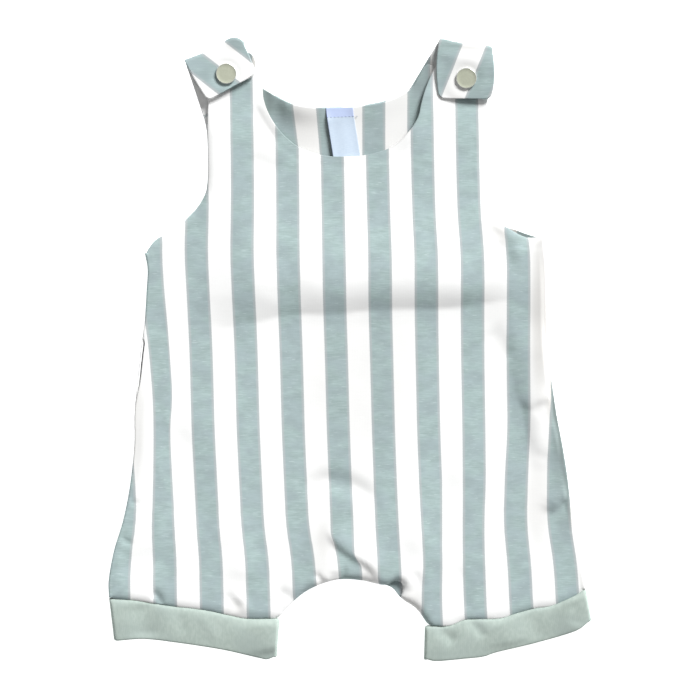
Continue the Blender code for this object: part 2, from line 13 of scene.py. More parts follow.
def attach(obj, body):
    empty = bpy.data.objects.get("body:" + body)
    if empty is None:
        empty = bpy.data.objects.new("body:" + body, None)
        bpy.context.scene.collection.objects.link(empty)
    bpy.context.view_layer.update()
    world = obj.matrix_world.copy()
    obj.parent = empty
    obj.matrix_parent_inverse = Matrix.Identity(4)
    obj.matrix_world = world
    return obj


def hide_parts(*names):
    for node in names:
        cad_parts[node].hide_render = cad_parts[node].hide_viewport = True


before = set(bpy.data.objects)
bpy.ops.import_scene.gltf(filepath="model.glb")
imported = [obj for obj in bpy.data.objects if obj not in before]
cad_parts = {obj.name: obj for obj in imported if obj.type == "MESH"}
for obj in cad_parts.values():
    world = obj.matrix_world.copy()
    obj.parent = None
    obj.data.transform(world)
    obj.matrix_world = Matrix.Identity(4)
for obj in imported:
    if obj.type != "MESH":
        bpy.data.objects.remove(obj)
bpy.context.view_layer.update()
print("frame loaded:", sorted(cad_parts))

cloth = {
    "jerseyWall": 1.2,
    "facingWall": 1,
    "tabWall": 1.7,
    "seamGap": 0.3,
    "sideRoll": 1.6,
    "shoulderRoll": 2.6,
    "stripePitch": 25.4,
    "stripeGreen": 0.505,  # share of the pitch
    "edgeRings": (0.06, 0.16, 0.3, 0.5, 1.1),
    "edgeRadius": 0.34,
    "edgeStep": 0.12,  # how finely a free edge is walked to find the distance from it
    "rollWidth": 0.3,  # how far a folded edge bulges sideways
}
backZ = cloth["jerseyWall"] / 2
sideSeamZ = backZ + 2 * cloth["sideRoll"]
tabZ = backZ + 2 * cloth["shoulderRoll"]
frontStrapZ = 2.9
rollReach = cloth["rollWidth"] + cloth["jerseyWall"] / 2  # from a silhouette in to the foot of its roll


# ---- points, lines and distances
def curveThrough(points, step, fineEnds=()):
    # Catmull-Rom through the points, sampled evenly; further columns are carried along
    knots = np.array(points, float)
    padded = np.vstack([2 * knots[0] - knots[1], knots, 2 * knots[-1] - knots[-2]])
    fine = []
    for a, b, c, d in zip(padded, padded[1:], padded[2:], padded[3:]):
        for t in np.linspace(0, 1, 16, endpoint=False):
            bend, twist = 2 * a - 5 * b + 4 * c - d, 3 * b - a - 3 * c + d
            fine.append(0.5 * (2 * b + (c - a) * t + bend * t**2 + twist * t**3))
    fine = np.array(fine + [knots[-1]])
    along = np.concatenate([[0], np.cumsum(np.linalg.norm(np.diff(fine[:, :2], axis=0), axis=1))])
    at = np.linspace(0, along[-1], max(2, round(along[-1] / step) + 1))
    if fineEnds:
        ends = np.array((0, *fineEnds))
        between = (at > ends[-1] + 0.4) & (at < along[-1] - ends[-1] - 0.4)
        at = np.concatenate([ends, at[between], along[-1] - ends[::-1]])
    return np.stack([np.interp(at, along, fine[:, k]) for k in range(fine.shape[1])], axis=1)


def rightOf(line):
    # unit normals on the right-hand side of a line
    tangent = np.gradient(line[:, :2], axis=0)
    tangent /= np.linalg.norm(tangent, axis=1)[:, None]
    return np.stack([tangent[:, 1], -tangent[:, 0]], axis=1)


def measureFrom(points, line):
    # signed distance (positive on the line's right) and share along it, for each point
    a, b = line[:-1, :2], line[1:, :2]
    span = b - a
    size = np.maximum((span**2).sum(1), 1e-12)
    gaps, shares = [], []
    for first in range(0, len(points), 3000):
        p = points[first : first + 3000, None, :2]
        share = np.clip(((p - a) * span).sum(2) / size, 0, 1)
        off = p - (a + share[..., None] * span)
        far = (off**2).sum(2)
        near = far.argmin(1)
        rows = np.arange(len(near))
        side = np.sign(off[rows, near, 0] * span[near, 1] - off[rows, near, 1] * span[near, 0])
        gaps.append(np.sqrt(far[rows, near]) * np.where(side == 0, 1, side))
        shares.append((near + share[rows, near]) / len(a))
    return np.concatenate(gaps), np.concatenate(shares)


def insideOf(points, outline):
    x0, y0 = outline[:, 0], outline[:, 1]
    x1, y1 = np.roll(x0, -1), np.roll(y0, -1)
    rise = np.where(np.abs(y1 - y0) < 1e-12, 1e-12, y1 - y0)
    found = []
    for first in range(0, len(points), 3000):
        x, y = points[first : first + 3000, 0][:, None], points[first : first + 3000, 1][:, None]
        crosses = (y0 > y) != (y1 > y)
        found.append((crosses & (x < (x1 - x0) * (y - y0) / rise + x0)).sum(1) % 2)
    return np.concatenate(found).astype(bool)


def ease(t):
    t = np.clip(t, 0, 1)
    return t * t * (3 - 2 * t)


def roundOver(t):
    return np.sqrt(1 - (1 - np.clip(t, 0, 1)) ** 2)


def joinEdges(edges):
    return np.vstack([edge[:-1, :2] for edge in edges])


def fillSheet(outline, freeEdges, spacing, rings):
    # points and triangles that fill an outline: rings along its free edges, an even grid elsewhere
    closed = np.vstack([outline, outline[:1]])
    extra = []
    for edge in freeEdges:
        normal = rightOf(edge)
        for inset in rings:
            ring = edge[:, :2] - normal * inset
            ring = ring[insideOf(ring, outline)]
            gap, _ = measureFrom(ring, closed)
            extra.append(ring[np.abs(gap) > inset * 0.85])
    low, high = outline.min(0), outline.max(0)
    grid = np.array([
        (x, y)
        for k, y in enumerate(np.arange(low[1], high[1], spacing * 0.866))
        for x in np.arange(low[0] + (k % 2) * spacing / 2, high[0], spacing)
    ])
    grid = grid[insideOf(grid, outline)]
    gap, _ = measureFrom(grid, closed)
    extra.append(grid[np.abs(gap) > max(rings, default=0) + spacing * 0.45])
    points = [Vector(p) for p in np.vstack([outline, *extra])]
    verts, _, faces, *_ = delaunay_2d_cdt(points, [], [list(range(len(outline)))], 1, 1e-5)
    return np.array([tuple(v) for v in verts]), [tuple(f) for f in faces]


def gridFaces(rows, columns, first=0):
    corners = [first + r * columns + c for r in range(rows - 1) for c in range(columns - 1)]
    return [(k, k + 1, k + columns + 1, k + columns) for k in corners]


def unevenness(points, wave, seed):
    # calm random height, about -1 to 1, with the given wavelength
    return np.array([noise.noise(Vector((p[0] / wave, p[1] / wave, seed))) for p in points])


# ---- meshes
def plainMesh(name, points, faces, uv=None):
    mesh = bpy.data.meshes.new(name)
    mesh.from_pydata([tuple(float(c) / 1000 for c in p) for p in points], [], faces)
    if uv is not None:
        layer = mesh.uv_layers.new(name="cloth")
        corner = np.zeros(len(mesh.loops), int)
        mesh.loops.foreach_get("vertex_index", corner)
        layer.data.foreach_set("uv", np.asarray(uv, float)[corner].ravel())
    return mesh


def paintedShadeOf(points, spots):
    # painted shade as a level, 1 where none is painted: x, y, reach across and along, how much darker
    level = np.ones(len(points))
    for x, y, wide, tall, less in spots:
        far = ((points[:, 0] - x) / wide) ** 2 + ((points[:, 1] - y) / tall) ** 2
        level -= less * np.exp(-(far**2))
    return np.clip(level, 0, 1)


def clothShell(name, points, faces, uv, wall, finish, paintedShade=None):
    # a closed sheet with rounded edges: each point of the middle surface moves out both ways along its normal
    draft = plainMesh(name + "Draft", points, faces, uv)
    work = bmesh.new()
    work.from_mesh(draft)
    bmesh.ops.remove_doubles(work, verts=work.verts, dist=0.01 / 1000)
    bmesh.ops.recalc_face_normals(work, faces=work.faces)
    faceUp = sum(f.normal.z * f.calc_area() for f in work.faces)
    if faceUp < 0 and name != "backCloth":  # the back turns over at its folds, so it stays as it is
        bmesh.ops.reverse_faces(work, faces=work.faces)
    work.to_mesh(draft)
    rims = [(e.verts[0].co * 1000, e.verts[1].co * 1000) for e in work.edges if len(e.link_faces) == 1]
    onRim = np.array([v.is_boundary for v in work.verts])
    work.free()
    counts = [max(2, int((b - a).length / cloth["edgeStep"]) + 1) for a, b in rims]
    steps = [a.lerp(b, t) for (a, b), count in zip(rims, counts) for t in np.linspace(0, 1, count)]
    tree = KDTree(len(steps))
    for k, p in enumerate(steps):
        tree.insert(p, k)
    tree.balance()
    count = len(draft.vertices)
    middle = np.array([v.co for v in draft.vertices]) * 1000
    normal = np.array([n.vector for n in draft.vertex_normals])
    gap = np.array([tree.find(Vector(p))[2] for p in middle])
    half = (wall(middle) if callable(wall) else np.full(count, wall)) / 2
    reach = half * roundOver(gap / np.minimum(half, cloth["edgeRadius"]))
    reach[onRim] = 0
    upper, lower = middle + normal * reach[:, None], middle - normal * reach[:, None]
    index = np.where(onRim, np.arange(count), count + np.arange(count))
    loops = [tuple(p.vertices) for p in draft.polygons]
    under = [tuple(int(index[i]) for i in reversed(loop)) for loop in loops]
    layer = draft.uv_layers["cloth"].data
    pattern = np.zeros((count, 2))
    for loop in draft.loops:
        pattern[loop.vertex_index] = layer[loop.index].uv
    mesh = plainMesh(name, np.vstack([upper, lower]), loops + under, np.vstack([pattern, pattern]))
    # the level of painted shade is kept on the mesh as a point attribute
    level = np.ones(count) if paintedShade is None else paintedShade(middle)
    stored = mesh.attributes.new("paintedShade", "FLOAT", "POINT")
    stored.data.foreach_set("value", np.concatenate([level, level]))
    mesh.validate()
    work = bmesh.new()
    work.from_mesh(mesh)
    bmesh.ops.delete(work, geom=[v for v in work.verts if not v.link_faces], context="VERTS")
    work.to_mesh(mesh)
    work.free()
    return addPiece(name, mesh, finish)


def closeMesh(work, mesh, nearest):
    # merge doubles, turn the faces outwards and keep the result
    bmesh.ops.remove_doubles(work, verts=work.verts, dist=nearest / 1000)
    bmesh.ops.recalc_face_normals(work, faces=work.faces)
    work.to_mesh(mesh)
    work.free()


def addToScene(name, data):
    added = bpy.data.objects.new(name, data)
    bpy.context.scene.collection.objects.link(added)
    return added


def addPiece(name, mesh, finish):
    mesh.shade_smooth()
    mesh.materials.clear()
    mesh.materials.append(finish)
    piece = addToScene(name, mesh)
    print(f"{name}: {len(mesh.polygons)} faces")
    return piece


# ---- finishes
def addNode(tree, kind, inputs=(), **settings):
    # a new node whose inputs are linked to sockets or set to values
    node = tree.nodes.new(kind)
    for key, value in settings.items():
        setattr(node, key, value)
    for key, value in dict(inputs).items():
        if isinstance(value, bpy.types.NodeSocket):
            tree.links.new(value, node.inputs[key])
        else:
            node.inputs[key].default_value = value
    return node


class Finish:
    # a material, with short words for the nodes that feed it
    def __init__(self, name, roughness, sheen=0, specular=0.25):
        self.material = bpy.data.materials.new(name)
        self.material.use_nodes = True
        self.tree = self.material.node_tree
        self.shader = self.tree.nodes["Principled BSDF"]
        self.set("Roughness", roughness)
        self.set("Specular IOR Level", specular)
        self.set("Sheen Weight", sheen)
        self.set("Sheen Roughness", 0.5)

    def set(self, key, value):
        self.shader.inputs[key].default_value = value

    def patternAxes(self):
        place = addNode(self.tree, "ShaderNodeUVMap", uv_map="cloth").outputs["UV"]
        split = addNode(self.tree, "ShaderNodeSeparateXYZ", {"Vector": place})
        self.u, self.v = split.outputs["X"], split.outputs["Y"]
        return self.u, self.v

    def math(self, operation, a, b=0):
        return addNode(self.tree, "ShaderNodeMath", {0: a, 1: b}, operation=operation).outputs[0]

    def times(self, a, b):
        return self.math("MULTIPLY", a, b)

    def plus(self, a, b):
        return self.math("ADD", a, b)

    def minus(self, a, b):
        return self.math("SUBTRACT", a, b)

    def wave(self, value, factor):
        return self.math("SINE", self.times(value, factor))

    def stretchedNoise(self, across, along, detail=2, shift=0):
        scaled = {"X": self.times(self.u, across), "Y": self.times(self.v, along), "Z": shift}
        place = addNode(self.tree, "ShaderNodeCombineXYZ", scaled).outputs[0]
        inputs = {"Vector": place, "Scale": 1, "Detail": detail}
        return addNode(self.tree, "ShaderNodeTexNoise", inputs, noise_dimensions="3D").outputs["Fac"]

    def remap(self, value, low, high):
        inputs = {"Value": value, "From Min": low, "From Max": high}
        return addNode(self.tree, "ShaderNodeMapRange", inputs, interpolation_type="SMOOTHSTEP").outputs[0]

    def mottle(self, across, along, detail, shift, low, high):
        return self.remap(self.stretchedNoise(across, along, detail, shift), low, high)

    def blend(self, share, a, b):
        return addNode(self.tree, "ShaderNodeMix", {0: share, 6: a, 7: b}, data_type="RGBA").outputs[2]

    def finish(self, colour, height, strength, distance):
        inputs = {"Height": height, "Strength": strength, "Distance": distance}
        bump = addNode(self.tree, "ShaderNodeBump", inputs)
        self.tree.links.new(colour, self.shader.inputs["Base Color"])
        self.tree.links.new(bump.outputs[0], self.shader.inputs["Normal"])
        return self.material


jerseyLook = {
    "greenDeep": (0.328, 0.424, 0.416, 1),
    "greenPale": (0.400, 0.504, 0.500, 1),
    "greenCool": (0.338, 0.412, 0.434, 1),
    # the dim green is the colour of painted shade on the green stripes and also of a darker random mottle; the
    # dim white is painted shade on the white stripes
    "greenShadeAndMottle": (0.17, 0.205, 0.20, 1),
    "greenSlub": (0.54, 0.64, 0.64, 1),
    "white": (0.86, 0.865, 0.86, 1),
    "whiteShade": (0.835, 0.835, 0.825, 1),
    "whitePaintedShade": (0.31, 0.29, 0.26, 1),
    "fringe": (0.475, 0.475, 0.49, 1),
    "fringeInside": 0.022,
    "fringeRange": (0.042, 0.012),
    "fringeShare": 0.48,
    "shadeShare": 0.35,
    # uneven yarn: scale across and along, detail, shift, then the range that shows
    "streak": (5, 52, 3, 3.7, 0.30, 0.72),
    "patch": (1.5, 2, 3, 8.1, 0.38, 0.62),
    "dim": (2.6, 4.5, 3, 14.9, 0.40, 0.64),
    "slub": (5, 50, 2, 21.3, 0.64, 0.72),
    # what is laid over the green: yarn, share, colour
    "layers": (("patch", 0.62, "greenCool"), ("dim", 0.16, "greenShadeAndMottle"), ("slub", 0.50, "greenSlub")),
    "waleAcross": 28,  # knit columns in one stripe pitch
    "courseAlong": 36,
    "edgeWander": 0.016,
    "edgeSoftness": 0.010,
}


def jerseyFinish(name, look):
    knit = Finish(name, 0.88, sheen=0.08)
    u, v = knit.patternAxes()
    halfGreen = cloth["stripeGreen"] / 2
    wander = knit.times(knit.minus(knit.stretchedNoise(6, 42, 1), 0.5), look["edgeWander"])
    shifted = knit.plus(knit.plus(u, wander), 100.5 - halfGreen)  # whole stripes on, so that it stays positive
    offMiddle = knit.math("ABSOLUTE", knit.minus(knit.math("FRACT", shifted), 0.5))
    white = knit.remap(offMiddle, halfGreen - look["edgeSoftness"], halfGreen + look["edgeSoftness"])
    offFringe = knit.math("ABSOLUTE", knit.minus(offMiddle, halfGreen - look["fringeInside"]))
    fringe = knit.remap(offFringe, *look["fringeRange"])
    streak = knit.mottle(*look["streak"])
    green = knit.blend(streak, look["greenDeep"], look["greenPale"])
    for yarn, share, tint in look["layers"]:
        green = knit.blend(knit.times(knit.mottle(*look[yarn]), share), green, look[tint])
    pale = knit.blend(knit.times(streak, look["shadeShare"]), look["white"], look["whiteShade"])
    colour = knit.blend(white, green, pale)
    colour = knit.blend(knit.times(fringe, look["fringeShare"]), colour, look["fringe"])
    # painted shade: where the stored level is below 1 the colour turns towards the dim green or the dim white
    level = addNode(knit.tree, "ShaderNodeAttribute", attribute_name="paintedShade").outputs["Fac"]
    colour = knit.blend(level, knit.blend(white, look["greenShadeAndMottle"], look["whitePaintedShade"]), colour)
    # knit: columns of small vees
    wale = knit.math("ABSOLUTE", knit.wave(u, look["waleAcross"] * math.pi))
    course = knit.wave(knit.plus(knit.times(v, look["courseAlong"]), knit.times(wale, 0.45)), 2 * math.pi)
    height = knit.plus(knit.times(wale, 0.5), knit.times(course, 0.25))
    height = knit.plus(height, knit.times(knit.stretchedNoise(60, 60, 2, 5.5), 0.7))
    height = knit.plus(height, knit.times(streak, 0.25))
    return knit.finish(colour, height, 0.14, 0.00010)


ribLook = {
    "deep": (0.350, 0.418, 0.382, 1),
    "pale": (0.392, 0.460, 0.422, 1),
    "cool": (0.335, 0.400, 0.378, 1),
    "mottle": (16, 9, 3, 1.2, 0.34, 0.68),
    "patch": (1.1, 1.5, 2, 4.4, 0.38, 0.62),
    "ribsInPitch": 24,
}


def ribFinish(name, look):
    rib = Finish(name, 0.9, sheen=0.1)
    u, _ = rib.patternAxes()
    colour = rib.blend(rib.mottle(*look["mottle"]), look["deep"], look["pale"])
    colour = rib.blend(rib.times(rib.mottle(*look["patch"]), 0.5), colour, look["cool"])
    ridge = rib.math("ABSOLUTE", rib.wave(u, look["ribsInPitch"] * math.pi))
    height = rib.plus(rib.times(ridge, 0.5), rib.stretchedNoise(55, 55, 2, 9.1))
    return rib.finish(colour, height, 0.22, 0.00012)


labelLook = {
    "satin": (0.475, 0.565, 0.68, 1),
    "satinPale": (0.53, 0.62, 0.72, 1),
    "weave": (0.4, 6, 2, 2, 0.35, 0.65),
    "fold": (0.45, 0.53, 0.74, 1),
    "foldDepth": 5.2,
    # painted shadow along the label's left edge: its colour, then how far in it fades out and where it is full
    "leftEdgeShadow": (0.05, 0.07, 0.14, 1),
    "leftEdgeShadowWidth": (0.42, 0.30),
    "threads": 2.5,  # in a millimetre
}


def labelFinish(name, look):
    satin = Finish(name, 0.55, sheen=0.05, specular=0.35)
    u, v = satin.patternAxes()  # both in millimetres here: across the label and down from its top
    colour = satin.blend(satin.mottle(*look["weave"]), look["satin"], look["satinPale"])
    folded = satin.remap(v, look["foldDepth"] + 0.15, look["foldDepth"] - 0.15)
    colour = satin.blend(folded, colour, look["fold"])
    # painted shadow: a dark line along the label's left edge
    edge = satin.remap(u, *(width - label["width"] / 2 for width in look["leftEdgeShadowWidth"]))
    colour = satin.blend(satin.times(edge, 0.85), colour, look["leftEdgeShadow"])
    down, across = (satin.wave(axis, 2 * math.pi * look["threads"]) for axis in (v, u))
    return satin.finish(colour, satin.times(down, across), 0.15, 0.00005)


def enamelFinish(name, colour, roughness, metallic):
    enamel = Finish(name, roughness, specular=0.4)
    enamel.set("Metallic", metallic)
    place = addNode(enamel.tree, "ShaderNodeTexCoord").outputs["Object"]
    inputs = {"Vector": place, "Scale": 900, "Detail": 3}
    speckle = addNode(enamel.tree, "ShaderNodeTexNoise", inputs).outputs["Fac"]
    darker = tuple(c * 0.94 for c in colour[:3]) + (1,)
    paint = enamel.blend(enamel.remap(speckle, 0.4, 0.6), colour, darker)
    return enamel.finish(paint, speckle, 0.05, 0.00005)


def threadFinish(name, colour):
    thread = Finish(name, 0.8)
    thread.set("Base Color", colour)
    return thread.material


# ---- how the stripes run over the laid cloth
stripeRows = (  # y, left edge of the middle green stripe, pitch to its left, pitch to its right
    (175, 8, 25.4, 25.4), (100, 9.2, 25.4, 25.4), (73, 9.8, 25.6, 25.5), (56, 10.3, 25.9, 26),
    (23, 10.5, 25.5, 26), (-3, 11.3, 25.4, 25.7), (-45, 12.4, 25.4, 25.5), (-70, 13.3, 25.3, 25.5),
    (-96, 14.3, 25.2, 25.7), (-121, 15.6, 26.1, 26), (-158, 17, 26.4, 26.4),
)
stripeGathers = (  # cloth that folds take up: side, width, then rows of y, place and amount
    ("left", 9, ((30, -103, 0), (0, -102, 2.5), (-28, -99.5, 4.1), (-45, -105, 4), (-70, -105, 2.4),
        (-100, -104, 0))),
    ("left", 6, ((-50, -117, 0), (-70, -117, 2), (-96, -116, 3.8), (-119, -115, 0))),
    ("left", 3, ((-99, -17, 0), (-108, -8, 1.8), (-118, 5, 3.7), (-131, 17, 3.9), (-165, 21, 4.2))),
    ("right", 8, ((-123, 36, 0), (-138, 35, 2.2))),
    ("right", 8, ((-75, 46, 0), (-96, 46, 1.1), (-121, 46, 2.7), (-138, 46, 1.8))),
    ("right", 8, ((-45, 58, 0), (-70, 58, 0.7), (-121, 58, 1.2), (-138, 58, 0.5))),
    ("right", 9, ((-70, 70, 0), (-96, 70, 1), (-138, 70, 0.6))),
    ("right", 9, ((-45, 82, 0), (-70, 82, 1.8), (-96, 82, 1.8), (-121, 82, 0))),
    ("right", 8, ((0, 106, 0.3), (-28, 106, 1.4), (-45, 106, 2.4), (-70, 106, 1.8), (-96, 106, 1.2),
        (-121, 106, 0))),
)


def patternPlace(across, y):
    # where points lie in the pattern, both ways in stripe pitches
    return np.column_stack([across, y / cloth["stripePitch"]])


def frontStripes(points):
    x, y = points[:, 0], points[:, 1]
    rows = np.array(stripeRows)[::-1]

    def row(table, column):
        return sum(np.interp(y + shift, table[:, 0], table[:, column]) for shift in (-7, 0, 7)) / 3

    off = x - row(rows, 1)
    u = np.where(off < 0, off / row(rows, 2), off / row(rows, 3))
    for side, width, table in stripeGathers:
        table = np.array(table)[::-1]
        across = (x - row(table, 1)) / width
        taken = row(table, 2) / cloth["stripePitch"]
        u = u - taken * ease(0.5 - across) if side == "left" else u + taken * ease(0.5 + across)
    return u


def backStripes(points):
    # the front's stripes carried on, with the straight ones that show along the right side
    x, y = points[:, 0], points[:, 1]
    lean = np.interp(y, (-30, 20), (0, -9.5))
    right = 5 + (x - 129 - lean) / cloth["stripePitch"]
    left = frontStripes(points) + 0.43 * ease((y - 86) / 8) * ease((-62 - x) / 12)
    return left + (right - left) * ease((x - 70) / 25)


def facingStripes(points):
    # straight, leaning a little on the left, and turned by half a stripe in the left corner
    x, y = points[:, 0], points[:, 1]
    lean = 0.13 * ease((10 - x) / 45) * (y - 128)
    corner = 8.5 * ease((y - 126) / 6) * ease((-39 - x) / 6)
    return (x - 7 + lean + corner) / cloth["stripePitch"]


# ---- outlines, seen from above, with the sides' third column how far in the seam lies
outlines = {
    "leftHem": (
        (-133.6, -140.3), (-120, -141.2), (-104, -143.8), (-82, -146.5), (-68, -149.5), (-58, -151.3),
        (-40.6, -151.6),
    ),
    "inseam": (
        (-40.6, -151.6), (-35.6, -145.7), (-27.6, -138.2), (-18.3, -133.1), (-6, -129.7), (5.5, -130.1),
        (18.4, -133), (24, -135), (29.2, -141), (37.8, -146.4), (44.6, -155.6),
    ),
    # the tuck beside the right leg, which only the front has
    "tuck": (
        (17, -132.6), (21.6, -132.4), (25, -130.8), (28.4, -131), (30.6, -133.6), (30.2, -137.2),
        (29.6, -140.6),
    ),
    "rightHem": (
        (44.6, -155.6), (56, -155.4), (66, -151.8), (84, -151.4), (92.5, -148.8),
        (104, -145.6), (114, -144.2), (126, -139), (131, -135.6),
    ),
    "rightArmhole": (
        (106.6, 63.2), (99.5, 63), (91.5, 66.8), (84.6, 71.6), (79, 78.4), (75.9, 85.7),
        (74.6, 96), (74.4, 107.2), (75.3, 124.1), (77.6, 138.7), (78.4, 150),
    ),
    "rightStrapEnd": ((78.4, 150), (77.6, 161), (71, 165), (62, 166.2), (53.5, 165.6), (49.2, 161.5)),
    "neckline": (
        (49.2, 161.5), (45.6, 155), (42.2, 146.5), (40.2, 139.5), (37.9, 130.5), (31.6, 121.4), (22.5, 114),
        (9.4, 110), (-3.5, 109.1), (-16, 109.9), (-28, 114), (-37.5, 121.4), (-44.7, 131.1),
        (-48.6, 140.9), (-49.6, 149.5), (-53, 158),
    ),
    "leftStrapEnd": (
        (-53, 158), (-53.4, 163), (-55.2, 166.8), (-59, 168.2), (-66.4, 166.4), (-74, 162.4), (-78.4, 155),
    ),
    "leftArmhole": (
        (-78.4, 155), (-80, 139.3), (-79.9, 112.8), (-79.9, 95.9), (-81.8, 86.5), (-88.6, 76.8),
        (-98, 68.8), (-106.4, 63.8), (-110.6, 60.6), (-113.4, 57),
    ),
    "leftSide": (
        (-115.8, 54.6, 2.4), (-114.2, 45.7, 2.4), (-114.7, 35, 2.4), (-115.9, 16.9, 2.6), (-118.2, 0, 3.4),
        (-120.1, -18, 4.6), (-121.7, -36.7, 3.8), (-121.8, -53.6, 2.4), (-124.1, -76.1, 2.6),
        (-128, -95.9, 2.8), (-133.1, -112.8, 2.6), (-136.2, -129.7, 2.4), (-136, -139.6, 2.4),
    ),
    "rightSide": (
        (133.3, -134.7, 2.4), (130.3, -121.3, 2.4), (126.9, -104.3, 2.4), (124.6, -87.4, 2.8),
        (122.6, -70.5, 3), (119.9, -53.6, 2.6), (116.7, -36.7, 2.4), (114.2, -19.7, 2.4), (112, -2.8, 2.6),
        (111.1, 14.1, 2.6), (110.8, 31, 2.4), (110.3, 47.9, 2.4), (109, 63.2, 2.4),
    ),
    "backLeftArmhole": (
        (-82.6, 131), (-80.9, 122), (-80.3, 100), (-82.1, 86.5), (-89.8, 76.8), (-99, 68.6),
        (-107, 63.2), (-111.2, 60), (-113.6, 56.4),
    ),
    "backRightArmhole": (
        (106.8, 63.2), (99.8, 65.6), (92.4, 68.4), (85.6, 71), (80, 77.6), (76.9, 85.7),
        (75.6, 96), (75.2, 110), (75.2, 131),
    ),
    "backNeck": (
        (34.4, 148.6), (30.5, 145.6), (20.5, 141.1), (8, 138.6), (-4, 137.5), (-16, 137.3), (-25, 137.9),
        (-33.5, 139.6), (-41, 143.4), (-49.5, 148.6),
    ),
}
outlines["frontInseam"] = outlines["inseam"][:6] + outlines["tuck"] + outlines["inseam"][-2:]


